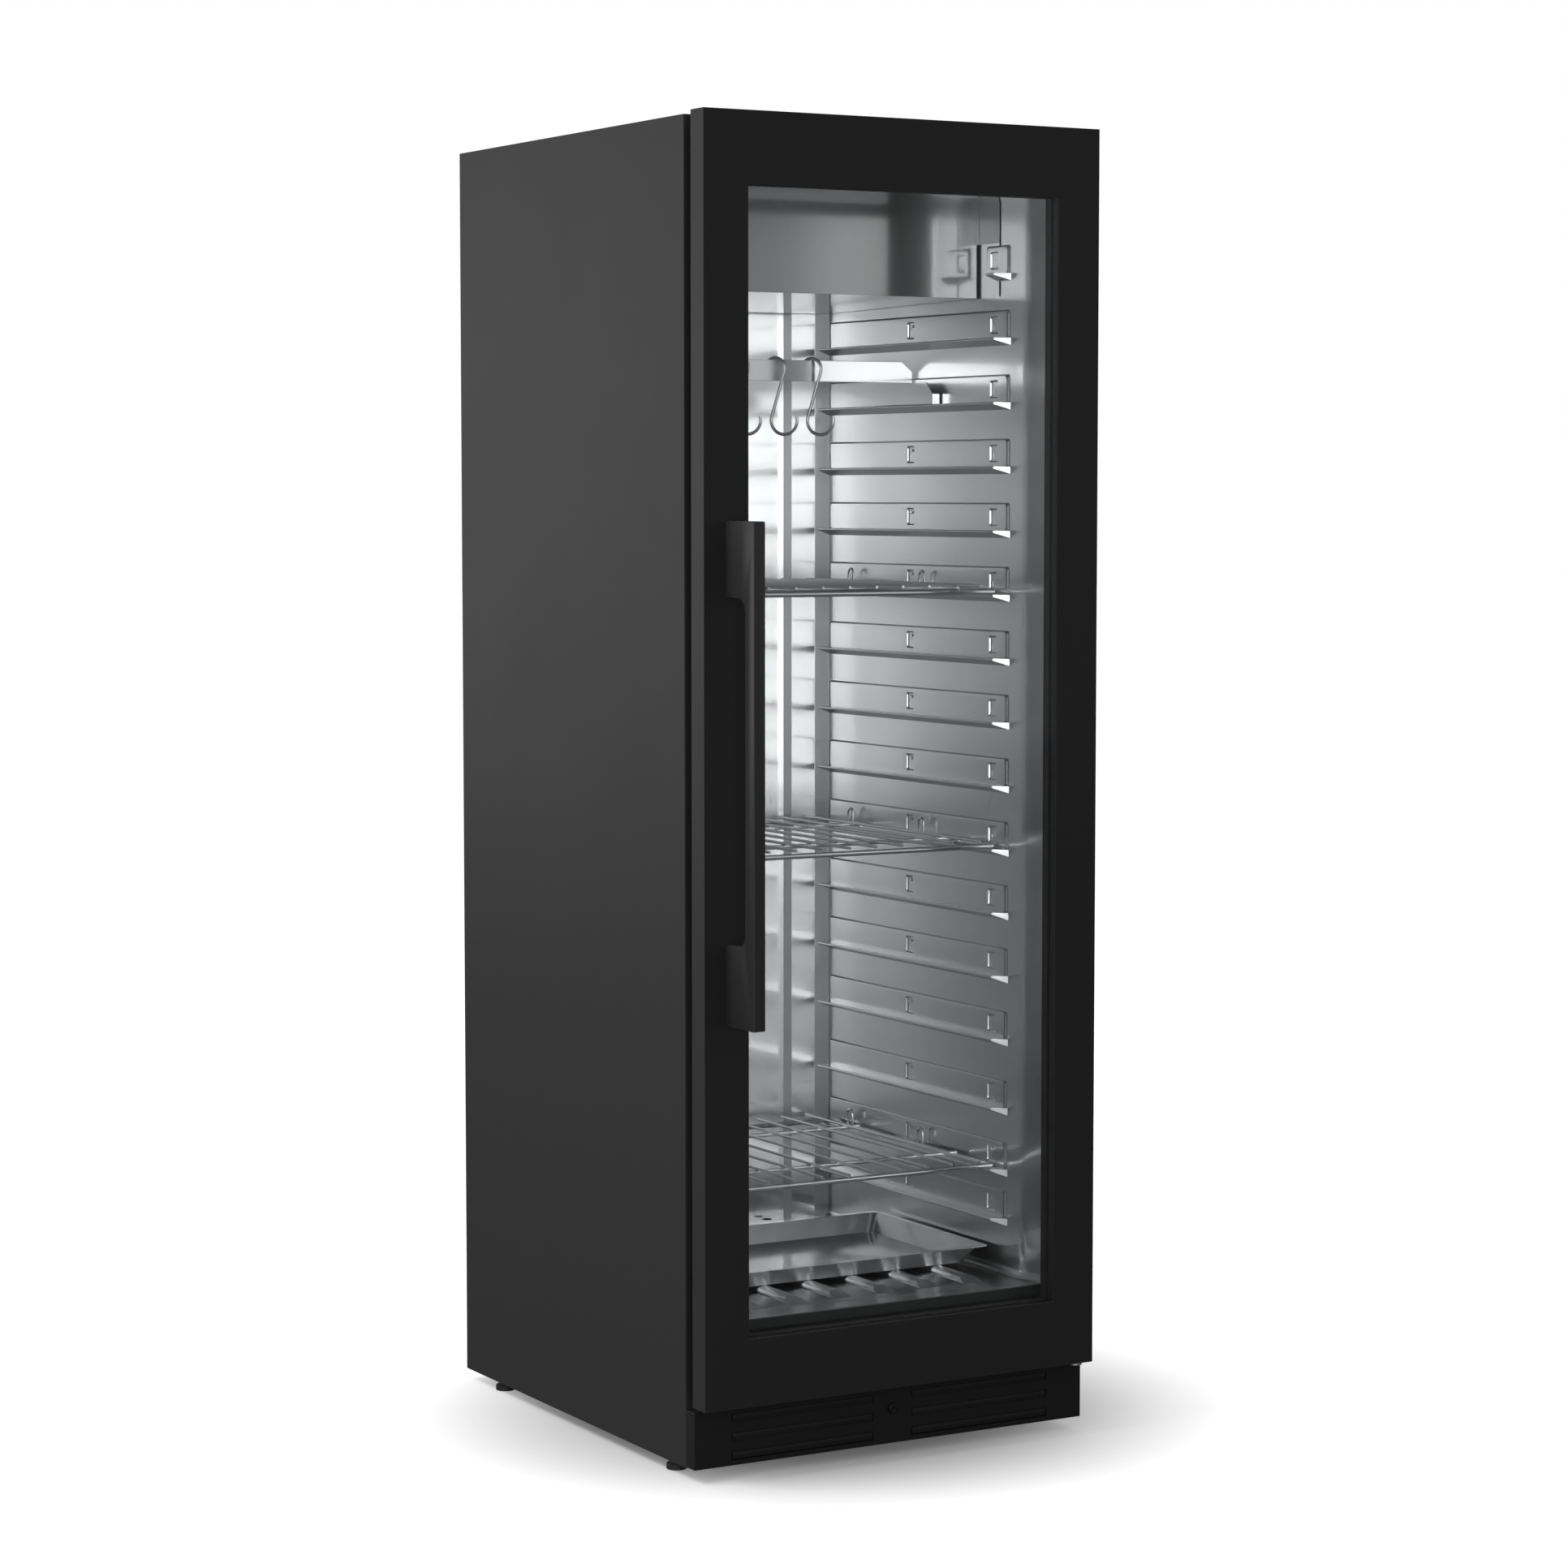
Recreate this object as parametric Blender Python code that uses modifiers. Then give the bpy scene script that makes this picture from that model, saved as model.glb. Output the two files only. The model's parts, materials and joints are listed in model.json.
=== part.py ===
"""Dry aging cabinet: a tall insulated cabinet with a glazed door, wire shelves, a hanging bar with hooks,
a drip tray, an evaporator behind a cover at the top and a small cooling machine under the floor.

Metres, +Z up, +X to the right seen from the front, the door faces -Y. The origin is on the ground, in the
middle of the whole outline. Depths are measured back from the door's front face and turned into Y by at().
"""

import math

import bmesh
import bpy
from mathutils import Matrix, Vector

# Outline of the cabinet
WIDTH = 0.595
CASING_HEIGHT = 1.724
CASING_DEPTH = 0.6606
GROUND_GAP = 0.017
DOOR_THICK = 0.0336
DOOR_LOW = 0.0991
DOOR_ABOVE = 0.004
DOOR_STANDOFF = 0.0179
HANDLE_REACH = 0.0745
SHEET = 0.0008
GAP = 0.0003
OVERRUN = 0.004
SINK = 0.0005
WELD = 0.00001
BASE_THICK = 0.0012
HALF = WIDTH / 2
TOP_Z = GROUND_GAP + CASING_HEIGHT
DOOR_TOP = TOP_Z + DOOR_ABOVE
CASING_FRONT = DOOR_THICK + DOOR_STANDOFF
CASING_BACK = CASING_FRONT + CASING_DEPTH
BASE_TOP = GROUND_GAP + BASE_THICK

# Walls of the cavity
SIDE_WALL = 0.0505
WALL_X = HALF - SIDE_WALL
FLARE_OUT = 0.0105
FLARE_X = WALL_X + FLARE_OUT
FLARE_DEPTH = 0.1
LINER = 0.001
FLOOR_Z = 0.202
TOP_WALL = 0.07
CEILING_Z = TOP_Z - TOP_WALL
REAR_WALL = 0.0921
CORNER_DEPTH = CASING_BACK - REAR_WALL
CORNER_CUT = 0.015
BAND_WIDE = 0.0541
BAND_INNER_X = WALL_X - BAND_WIDE
RECESS = 0.02
RECESS_SLOPE = 0.002
FRAME_THICK = 0.0012
FLOOR_WALL = 0.0385
DECK_Z = FLOOR_Z - FLOOR_WALL
DECK_THICK = 0.001

# Pressed rails on the side walls
RAIL_TOP_DROP = 0.1083
RAIL_TOP_Z = CEILING_Z - RAIL_TOP_DROP
RAIL_EVEN_LIFT = 0.3227
RAIL_EVEN_COUNT = 13
RAIL_PITCH = (RAIL_TOP_Z - FLOOR_Z - RAIL_EVEN_LIFT) / (RAIL_EVEN_COUNT - 1)
RAIL_LOW_STEPS = (0.0949, 0.0848, 0.0679)
RAIL_FRONT = 0.137
RAIL_END_GAP = 0.002
RAIL_BACK = CORNER_DEPTH - RAIL_END_GAP
TOP_LEDGE_BACK = 0.17
TOP_PAD_BACK = 0.199
RAIL_REACH = 0.02
RAIL_LIP = 0.006
RAIL_ROOT = 0.012
RAIL_NOSE = 0.0015
PAD_RISE = 0.003
PAD_HEIGHT = 0.038
PAD_END_SLOPE = 0.006
PAD_TOP_SLOPE = 0.0025
POCKET_LONG = 0.0205
POCKET_HIGH = 0.0243
POCKET_DEEP = 0.0028
POCKET_LIFT = 0.0056
POCKET_DEPTHS = (0.175, 0.389)

# Floor ribs and drain
RIB_COUNT = 6
RIB_EDGE = 0.076
RIB_PITCH = 2 * (WALL_X - RIB_EDGE) / (RIB_COUNT - 1)
RIB_WIDTH = 0.0285
RIB_HEIGHT = 0.0075
RIB_FRONT = 0.105
RIB_END_GAP = 0.02
RIB_BACK = CORNER_DEPTH - RIB_END_GAP
RIB_END_SLOPE = 0.023
DRAIN_INSET = 0.092
DRAIN_X = WALL_X - DRAIN_INSET
DRAIN_BEHIND = 0.022
DRAIN_DEPTH = CORNER_DEPTH + DRAIN_BEHIND
DRAIN_BORE = 0.008
DRAIN_WALL = 0.0015
DRAIN_LOW_Z = 0.06

# Door
SKIN = 0.0012
STILE = 0.0645
LOWER_RAIL = 0.0889
UPPER_RAIL = 0.092
WINDOW_HALF = HALF - STILE
WINDOW_LOW = DOOR_LOW + LOWER_RAIL
WINDOW_HIGH = DOOR_TOP - UPPER_RAIL
GLASS = 0.004
GLASS_EDGE = 0.012
SPACER_EDGE = 0.003
SPACER_THICK = 0.0114
SPACER_INSET = 0.002
INNER_PLATE = 0.0027
GASKET_INSET = 0.0165
GASKET_LIFT = 0.0689
GASKET_DROP = 0.046
GASKET_HALF = HALF - GASKET_INSET
GASKET_WIDTH = 0.02
GASKET_LOW = DOOR_LOW + GASKET_LIFT
GASKET_HIGH = DOOR_TOP - GASKET_DROP
HANDLE_INSET = 0.0305
HANDLE_LIFT = 0.4951
HANDLE_LONG = 0.6381
HANDLE_X = HANDLE_INSET - HALF
HANDLE_THICK = 0.0156
HANDLE_LOW = DOOR_LOW + HANDLE_LIFT
HANDLE_HIGH = HANDLE_LOW + HANDLE_LONG
HANDLE_BLOCK_LOW = 0.1024
HANDLE_BLOCK_HIGH = 0.0957
HANDLE_GRIP = 0.0235
HANDLE_INNER_ROUND = 0.018
HANDLE_OUTER_ROUND = 0.003
HANDLE_EDGE = 0.0018

# Hinges
HINGE_INSET = 0.0165
HINGE_X = HALF - HINGE_INSET
HINGE_DEPTH = 0.0168
HINGE_PIN = 0.004
HINGE_PIN_LONG = 0.018
HINGE_ARM_HALF = 0.009
HINGE_PLATE = 0.003
HINGE_LEG_INSETS = (0.0355, 0.002)
HINGE_LEG_X = (HALF - HINGE_LEG_INSETS[0], HALF - HINGE_LEG_INSETS[1])
HINGE_LEG_HIGH = 0.036
HINGE_BELOW = 0.0048
HINGE_LOW_Z = DOOR_LOW - HINGE_BELOW
HINGE_TOP_DROP = 0.0005
BUSH_WALL = 0.0035
BUSH_SHORT = 0.0015
NOTCH_CLEAR = 0.0055
NOTCH_BELOW = 0.0015
NOTCH_LIP = 0.0025

# Kick grille and lock
KICK_LOW = BASE_TOP + GAP
KICK_DROP = 0.0063
KICK_HIGH = DOOR_LOW - KICK_DROP
KICK_FRONT = 0.0288
KICK_WALL = 0.002
KICK_SLOT_COUNT = 3
KICK_SLOT_PITCH = 0.0247
KICK_SLOT_LOW = 0.0311
KICK_SLOT_HIGH = 0.012
KICK_SLOT_INNER = 0.0288
KICK_SLOT_EDGE = 0.0547
KICK_SLOT_X = (KICK_SLOT_INNER, HALF - KICK_SLOT_EDGE)
LOCK_X = 0.0
LOCK_Z = 0.0647
LOCK_RADIUS = 0.007
LOCK_PROUD = 0.0035
LOCK_DOME = 0.001
LOCK_KEYWAY = (0.0011, 0.0024, 0.006)
CAM_CATCH = 0.005
CAM_WIDE = 0.008
CAM_THICK = 0.002

# Levelling feet
FOOT_INSET = 0.0215
FOOT_SETBACKS = (0.0655, 0.0821)
FOOT_X = HALF - FOOT_INSET
FOOT_DEPTHS = (CASING_FRONT + FOOT_SETBACKS[0], CASING_BACK - FOOT_SETBACKS[1])
FOOT_RADIUS = 0.0135
FOOT_DISC = 0.008
FOOT_COLLAR = 0.008
FOOT_CHAMFER = 0.001
STEM_RADIUS = 0.004
STEM_HIGH = 0.045
BOSS_RADIUS = 0.009
BOSS_HIGH = 0.009

# Wire shelves
RAILS_ABOVE_SHELF_COUNTS = (5, 9, 14)
SHELF_FRONT = 0.158
SHELF_BEHIND = 0.02
SHELF_BACK = CORNER_DEPTH - SHELF_BEHIND
SHELF_SIDE_CLEAR = 0.0135
SHELF_SIDE_X = WALL_X - SHELF_SIDE_CLEAR
FRONT_ROD = 0.0036
SIDE_ROD = 0.003
CROSS_ROD = 0.003
CROSS_SETBACK = 0.09
WIRE = 0.0021
WIRE_COUNT = 11
WIRE_EDGE = 0.028
WIRE_PITCH = 2 * (SHELF_SIDE_X - WIRE_EDGE) / (WIRE_COUNT - 1)
WIRE_LIFT = 0.0085
WIRE_OVERHANG = 0.014
STOP_SETBACKS = (0.2575, 0.0644)
STOP_DEPTHS = (SHELF_BACK - STOP_SETBACKS[0], SHELF_BACK - STOP_SETBACKS[1])
STOP_WIRE = 0.0018
STOP_WIDE = 0.0125
STOP_RISE = 0.0285

# Drip tray
TRAY_FRONT = 0.17
TRAY_BACK = 0.47
TRAY_SIDE_CLEAR = 0.0065
TRAY_HIGH = 0.0255
TRAY_HALF = WALL_X - TRAY_SIDE_CLEAR
TRAY_RIM_Z = FLOOR_Z + RIB_HEIGHT + TRAY_HIGH
TRAY_RIM = 0.01
TRAY_SLOPE = 0.0165
TRAY_CORNER = 0.008
TRAY_SHEET = 0.001

# Hanging bar, brackets and hooks
RAILS_ABOVE_BAR_COUNT = 2
BAR_DEPTH = 0.383
BAR_THICK = 0.0025
BAR_HIGH = 0.029
BAR_SIDE_CLEAR = 0.0052
BAR_HALF = WALL_X - BAR_SIDE_CLEAR
BAR_CUT_X = 0.0165
BAR_CUT_Z = 0.0135
BRACKET_INSET = 0.0113
BRACKET_X = BAR_HALF - BRACKET_INSET
BRACKET_SHEET = 0.0015
BRACKET_LONG = 0.151
BRACKET_SHIFT = 0.002
BRACKET_HIGH = 0.0305
BRACKET_CUT_Y = 0.0165
BRACKET_CUT_Z = 0.016
BRACKET_RETURN = 0.0115
HOOK_FIRST_X = -0.0356
HOOK_PITCH = 0.0575
HOOK_COUNT = 3
HOOK_WIRE = 0.00225
HOOK_UPPER = 0.0144
HOOK_LOWER = 0.0193
HOOK_SHIFT = 0.0134
HOOK_LONG = 0.1095
HOOK_TURN = math.radians(38)
HOOK_START = math.radians(200)
HOOK_END = math.radians(375)

# Evaporator and its cover
COVER_DEPTH = 0.2175
COVER_SHEET = 0.0012
COVER_SIDE_CLEAR = 0.0039
COVER_HIGH = 0.1395
COVER_LAP = 0.0034
COVER_HALF = WALL_X - COVER_SIDE_CLEAR
COVER_LOW = CEILING_Z - COVER_HIGH
COVER_BACK = CORNER_DEPTH + COVER_LAP
COVER_DROP = 0.005
CHEEK_FRONT = 0.1645
CHEEK_DROPS = (0.067, 0.002)
CHEEK_Z = (CEILING_Z - CHEEK_DROPS[0], CEILING_Z - CHEEK_DROPS[1])
CHEEK_ROUND = 0.012
CHEEK_LAP = 0.001
COIL_INSET = 0.092
COIL_LIFT = 0.0215
COIL_HALF = WALL_X - COIL_INSET
COIL_DEPTHS = (0.28, 0.37)
COIL_LOW = COVER_LOW + COIL_LIFT
COIL_TOP_GAP = 0.016
COIL_PLATE = 0.002
LIGHT_INSET = 0.087
LIGHT_HALF = WALL_X - LIGHT_INSET
LIGHT_DEPTHS = (0.1, 0.122)
LIGHT_HIGH = 0.007

# Fans: each is a plate with a round hole, a motor on arms behind it, and a rotor in the hole
FAN_PLATE = 0.0015
FAN_CLEAR = 0.003
FAN_BLADES = 5
FAN_BLADE_THICK = 0.0014
FAN_BLADE_WIDE = 0.024
FAN_BLADE_ROOT_SHARE = 0.55
FAN_PITCH = math.radians(28)
FAN_HUB = 0.016
FAN_HUB_LONG = 0.018
FAN_ARM = 0.005
FAN_ARM_OUT = 0.007
FAN_MOTOR_LONG = 0.026
UPPER_FAN_DEPTH = 0.44
UPPER_FAN_INSET = 0.097
UPPER_FAN_HALF = WALL_X - UPPER_FAN_INSET
UPPER_FAN_RADIUS = 0.05
LOWER_FAN_DEPTH = 0.155
LOWER_FAN_INSET = 0.0275
MACHINE_MIDDLE = 0.03
LOWER_FAN_X = (LOWER_FAN_INSET - HALF, -MACHINE_MIDDLE)
LOWER_FAN_RADIUS = 0.055

# Cooling machine under the floor
CONDENSER_INSET = 0.0395
CONDENSER_X = (CONDENSER_INSET - HALF, -MACHINE_MIDDLE)
CONDENSER_DEPTHS = (0.075, 0.13)
CONDENSER_Z = (0.03, 0.148)
COMPRESSOR_INSET = 0.1675
COMPRESSOR_BEHIND = 0.1371
COMPRESSOR_X = COMPRESSOR_INSET - HALF
COMPRESSOR_DEPTH = CASING_BACK - COMPRESSOR_BEHIND
COMPRESSOR_RADIUS = 0.062
COMPRESSOR_DOME_SHARES = ((0.6, 0.05), (0.9, 0.2), (1.0, 0.4))
COMPRESSOR_WAIST_SHARE = 0.2
COMPRESSOR_Z = (0.0335, 0.152)
COMPRESSOR_FOOT = (0.15, 0.11, 0.0025)
COMPRESSOR_PAD = 0.009
COMPRESSOR_PAD_INSET = 0.014
PAN_INNER = 0.05
PAN_INSET = 0.0355
PAN_BEHIND = 0.0321
PAN_DEEP = 0.18
PAN_X = (PAN_INNER, HALF - PAN_INSET)
PAN_DEPTHS = (CASING_BACK - PAN_BEHIND - PAN_DEEP, CASING_BACK - PAN_BEHIND)
PAN_HIGH = 0.032
PAN_WALL = 0.0018
BOX_INNER = 0.07
BOX_INSET = 0.0355
BOX_X = (BOX_INNER, HALF - BOX_INSET)
BOX_DEPTHS = (0.12, 0.21)
BOX_HIGH = 0.08
BOX_EDGE = 0.003
INLET_INSET = 0.0725
INLET_X = HALF - INLET_INSET
INLET_Z = 0.1
INLET_BODY = (0.028, 0.026, 0.02)
INLET_FLANGE = (0.04, 0.002, 0.03)
INLET_SOCKET = (0.0235, 0.016, 0.0155)
INLET_PIN = (0.0018, 0.011, 0.0036)
INLET_PIN_PITCH = 0.007
INLET_PIN_DROP = 0.0035
VENT_COUNT = 6
VENT_PITCH = 0.014
VENT_HIGH = 0.006
VENT_LOW = 0.04
VENT_INSETS = (0.0975, 0.1375)
VENT_X = (VENT_INSETS[0] - HALF, HALF - VENT_INSETS[1])
PIPE = 0.004
PIPE_CLEAR = 0.0006
PIPE_BEND = 0.018
SUCTION_INSET = 0.1175
SUCTION_X = HALF - SUCTION_INSET
SUCTION_BEHIND = 0.0221
SUCTION_DEPTH = CASING_BACK - SUCTION_BEHIND
SUCTION_LOW = 0.115
SUCTION_DROP = 0.071
SUCTION_HIGH = CEILING_Z - SUCTION_DROP
SUCTION_IN = 0.325
DISCHARGE_X = 0.0
DISCHARGE_Z = 0.09
DISCHARGE_BEFORE = 0.115
DISCHARGE_DEPTH = COMPRESSOR_DEPTH - DISCHARGE_BEFORE
DISCHARGE_END = 0.102

# Fineness of round shapes
ROUND = 24
SMALL_ROUND = 12
WIRE_ROUND = 8
CORNER_STEPS = 4

# What follows from those sizes
ORIGIN_DEPTH = (CASING_BACK - HANDLE_REACH) / 2
INSIDE_X = HALF - SHEET - GAP
BACK_INSIDE = CASING_BACK - SHEET - GAP
FRAME_BACK = CASING_FRONT + FRAME_THICK + GAP
DECK_TOP = DECK_Z + DECK_THICK
BAND_DEPTH = CORNER_DEPTH + CORNER_CUT
PAD_X = WALL_X - PAD_RISE
RIB_TOP = FLOOR_Z + RIB_HEIGHT

# Base colour, roughness and metallic value of each material
MATERIALS = {
    "black_casing": ((0.050, 0.050, 0.052, 1.0), 0.55, 0.0),
    "black_door": ((0.018, 0.018, 0.018, 1.0), 0.45, 0.0),
    "black_handle": ((0.030, 0.030, 0.030, 1.0), 0.40, 0.0),
    "dark_frame": ((0.060, 0.062, 0.064, 1.0), 0.50, 0.0),
    "stainless": ((0.560, 0.565, 0.575, 1.0), 0.28, 1.0),
    "polished_steel": ((0.620, 0.625, 0.635, 1.0), 0.15, 1.0),
    "zinc_steel": ((0.480, 0.490, 0.500, 1.0), 0.45, 1.0),
    "foam": ((0.780, 0.720, 0.560, 1.0), 0.90, 0.0),
    "clear_glass": ((0.900, 0.920, 0.920, 1.0), 0.03, 0.0),
    "black_rubber": ((0.012, 0.012, 0.012, 1.0), 0.80, 0.0),
    "black_plastic": ((0.025, 0.025, 0.025, 1.0), 0.50, 0.0),
    "white_nylon": ((0.800, 0.800, 0.780, 1.0), 0.45, 0.0),
    "aluminium": ((0.700, 0.710, 0.720, 1.0), 0.35, 1.0),
    "copper": ((0.720, 0.360, 0.220, 1.0), 0.30, 1.0),
    "lamp": ((0.900, 0.900, 0.880, 1.0), 0.30, 0.0),
}


def clear_scene():
    """Removes every object that a new file starts with."""
    for old in list(bpy.data.objects):
        bpy.data.objects.remove(old, do_unlink=True)


def at(depth):
    """The Y of a depth behind the door's front face."""
    return depth - ORIGIN_DEPTH


def material(name):
    """The named material, made when it is first asked for."""
    found = bpy.data.materials.get(name)
    if found:
        return found
    colour, roughness, metallic = MATERIALS[name]
    made = bpy.data.materials.new(name)
    made.use_nodes = True
    shader = made.node_tree.nodes["Principled BSDF"]
    shader.inputs["Base Color"].default_value = colour
    shader.inputs["Roughness"].default_value = roughness
    shader.inputs["Metallic"].default_value = metallic
    made.diffuse_color = colour
    return made


def add_object(name, data):
    """A new object in the cabinet's collection."""
    made = bpy.data.objects.new(name, data)
    PARTS.objects.link(made)
    return made


def from_bmesh(name, bm):
    """An object from a bmesh, with its faces pointing out."""
    bmesh.ops.recalc_face_normals(bm, faces=bm.faces)
    mesh = bpy.data.meshes.new(name)
    bm.to_mesh(mesh)
    bm.free()
    return add_object(name, mesh)


def settle(piece):
    """Turns a curve or an object with modifiers into a plain welded mesh object of the same name."""
    name = piece.name
    bpy.context.view_layer.update()
    graph = bpy.context.evaluated_depsgraph_get()
    mesh = bpy.data.meshes.new_from_object(piece.evaluated_get(graph))
    mesh.transform(piece.matrix_world)
    bpy.data.objects.remove(piece, do_unlink=True)
    bm = bmesh.new()
    bm.from_mesh(mesh)
    bmesh.ops.remove_doubles(bm, verts=bm.verts, dist=WELD)
    bpy.data.meshes.remove(mesh)
    return from_bmesh(name, bm)


def box(name, x, y, z):
    """A box between two values on each axis."""
    bm = bmesh.new()
    bmesh.ops.create_cube(bm, size=1.0)
    low = Vector((x[0], y[0], z[0]))
    high = Vector((x[1], y[1], z[1]))
    matrix = Matrix.LocRotScale((low + high) / 2, None, high - low)
    bmesh.ops.transform(bm, matrix=matrix, verts=bm.verts)
    return from_bmesh(name, bm)


def cylinder(name, centre, axis, radius, ends, sides=SMALL_ROUND):
    """A round bar along an axis letter, between two values on it, centred on the other two."""
    bm = bmesh.new()
    bmesh.ops.create_cone(bm, cap_ends=True, segments=sides, radius1=radius, radius2=radius,
                          depth=abs(ends[1] - ends[0]))
    turn = {"X": Matrix.Rotation(math.radians(90), 4, "Y"), "Y": Matrix.Rotation(math.radians(90), 4, "X"),
            "Z": Matrix.Identity(4)}[axis]
    middle = Vector(centre)
    middle["XYZ".index(axis)] = (ends[0] + ends[1]) / 2
    bmesh.ops.transform(bm, matrix=Matrix.Translation(middle) @ turn, verts=bm.verts)
    return from_bmesh(name, bm)


def prism(name, loops, axis, ends):
    """Flat outlines, holes included, stretched along an axis: pairs are (y, z), (x, z) or (x, y)."""
    curve = bpy.data.curves.new(name, "CURVE")
    curve.dimensions = "2D"
    curve.fill_mode = "BOTH"
    curve.extrude = abs(ends[1] - ends[0]) / 2
    for loop in loops:
        spline = curve.splines.new("POLY")
        spline.points.add(len(loop) - 1)
        for point, (a, b) in zip(spline.points, loop):
            point.co = (a, b, 0, 1)
        spline.use_cyclic_u = True
    made = add_object(name, curve)
    made.matrix_world = {
        "X": Matrix(((0, 0, 1, 0), (1, 0, 0, 0), (0, 1, 0, 0), (0, 0, 0, 1))),
        "Y": Matrix(((1, 0, 0, 0), (0, 0, -1, 0), (0, 1, 0, 0), (0, 0, 0, 1))),
        "Z": Matrix.Identity(4),
    }[axis]
    made.location["XYZ".index(axis)] = (ends[0] + ends[1]) / 2
    return settle(made)


def rectangle(x, z):
    """The four corners of a rectangle."""
    return [(x[0], z[0]), (x[1], z[0]), (x[1], z[1]), (x[0], z[1])]


def circle(a, b, radius, steps=SMALL_ROUND):
    """The corners of a round outline."""
    angles = [2 * math.pi * step / steps for step in range(steps)]
    return [(a + radius * math.cos(angle), b + radius * math.sin(angle)) for angle in angles]


def rounded(corners, steps=CORNER_STEPS):
    """An outline from (a, b, radius) corners, each radius over zero drawn as an arc."""
    points = []
    count = len(corners)
    for index, (a, b, radius) in enumerate(corners):
        corner = Vector((a, b))
        if not radius:
            points.append((a, b))
            continue
        before = (Vector(corners[index - 1][:2]) - corner).normalized()
        after = (Vector(corners[(index + 1) % count][:2]) - corner).normalized()
        half = before.angle(after) / 2
        centre = corner + (before + after).normalized() * (radius / math.sin(half))
        start = corner + before * (radius / math.tan(half)) - centre
        sweep = start.angle_signed(corner + after * (radius / math.tan(half)) - centre)
        for step in range(steps + 1):
            spoke = start.copy()
            spoke.rotate(Matrix.Rotation(-sweep * step / steps, 2))
            points.append(tuple(centre + spoke))
    return points


def offset_path(points, distance):
    """An open path moved sideways to its left by a distance, with mitred corners."""
    moved = []
    for index, point in enumerate(points):
        here = Vector(point)
        sides = []
        if index > 0:
            sides.append((here - Vector(points[index - 1])).normalized())
        if index < len(points) - 1:
            sides.append((Vector(points[index + 1]) - here).normalized())
        lefts = [Vector((-side.y, side.x)) for side in sides]
        mean = sum(lefts, Vector((0, 0))).normalized()
        moved.append(tuple(here + mean * (distance / mean.dot(lefts[0]))))
    return moved


def tube(name, points, radius, resolution=2):
    """A round wire or pipe along a path of points."""
    curve = bpy.data.curves.new(name, "CURVE")
    curve.dimensions = "3D"
    curve.bevel_depth = radius
    curve.bevel_resolution = resolution
    curve.use_fill_caps = True
    spline = curve.splines.new("POLY")
    spline.points.add(len(points) - 1)
    for point, place in zip(spline.points, points):
        point.co = (*place, 1)
    return settle(add_object(name, curve))


def bent_path(corners, radius, steps=CORNER_STEPS):
    """A 3D path with each inner corner drawn as an arc of one radius."""
    path = [Vector(corners[0])]
    for before, corner, after in zip(corners, corners[1:], corners[2:]):
        corner = Vector(corner)
        back = (Vector(before) - corner).normalized()
        ahead = (Vector(after) - corner).normalized()
        half = back.angle(ahead) / 2
        centre = corner + (back + ahead).normalized() * (radius / math.sin(half))
        start = (corner + back * (radius / math.tan(half)) - centre).normalized()
        end = (corner + ahead * (radius / math.tan(half)) - centre).normalized()
        for step in range(steps + 1):
            path.append(centre + start.slerp(end, step / steps) * radius)
    path.append(Vector(corners[-1]))
    return path


def turned(name, profile, centre, sides=ROUND):
    """A solid of revolution about Z: the profile of (radius, height) pairs runs from top to bottom."""
    bm = bmesh.new()
    points = [bm.verts.new((radius, 0, height)) for radius, height in profile]
    for first, second in zip(points, points[1:]):
        bm.edges.new((first, second))
    mesh = bpy.data.meshes.new(name)
    bm.to_mesh(mesh)
    bm.free()
    made = add_object(name, mesh)
    screw = made.modifiers.new("turn", "SCREW")
    screw.steps = sides
    screw.render_steps = sides
    screw.use_merge_vertices = True
    screw.merge_threshold = WELD
    made.location = centre
    return settle(made)


def bundle(name, pieces):
    """Several separate solids as one object, to join or cut in one go."""
    bm = bmesh.new()
    for piece in pieces:
        bm.from_mesh(piece.data)
        bpy.data.objects.remove(piece, do_unlink=True)
    return from_bmesh(name, bm)


def combine(piece, other, operation):
    """Joins or cuts a piece with another solid, which is used up."""
    change = piece.modifiers.new(operation.lower(), "BOOLEAN")
    change.operation = operation
    change.object = other
    change.solver = "EXACT"
    made = settle(piece)
    bpy.data.objects.remove(other, do_unlink=True)
    return made


def join(piece, other):
    """The union of two solids."""
    return combine(piece, other, "UNION")


def cut(piece, other):
    """A solid less another."""
    return combine(piece, other, "DIFFERENCE")


def mirrored(name, piece):
    """A copy on the other side of the middle plane."""
    bm = bmesh.new()
    bm.from_mesh(piece.data)
    bmesh.ops.transform(bm, matrix=Matrix.Scale(-1, 4, Vector((1, 0, 0))), verts=bm.verts)
    return from_bmesh(name, bm)


def soften(piece, width, segments=2):
    """Rounds a solid's sharp edges."""
    bevel = piece.modifiers.new("edges", "BEVEL")
    bevel.width = width
    bevel.segments = segments
    bevel.limit_method = "ANGLE"
    bevel.angle_limit = math.radians(40)
    return settle(piece)


def add_body(name, place, parent=None):
    """An empty on the axis of what moves, or at the origin for what stands still."""
    made = bpy.data.objects.new(name, None)
    PARTS.objects.link(made)
    made.location = Vector(place) - (parent["place"] if parent else Vector((0, 0, 0)))
    if parent:
        made.parent = parent["empty"]
    return {"empty": made, "place": Vector(place)}


def carry(body, look, *pieces):
    """Gives pieces their material, an origin at their middle, and the empty of the body that carries them."""
    for piece in pieces:
        mesh = piece.data
        low = Vector([min(vert.co[axis] for vert in mesh.vertices) for axis in range(3)])
        high = Vector([max(vert.co[axis] for vert in mesh.vertices) for axis in range(3)])
        middle = (low + high) / 2
        mesh.transform(Matrix.Translation(-middle))
        mesh.materials.clear()
        mesh.materials.append(material(look))
        mesh.shade_smooth()
        mesh.set_sharp_from_angle(angle=math.radians(35))
        piece.parent = body["empty"]
        piece.location = middle - body["place"]


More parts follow.
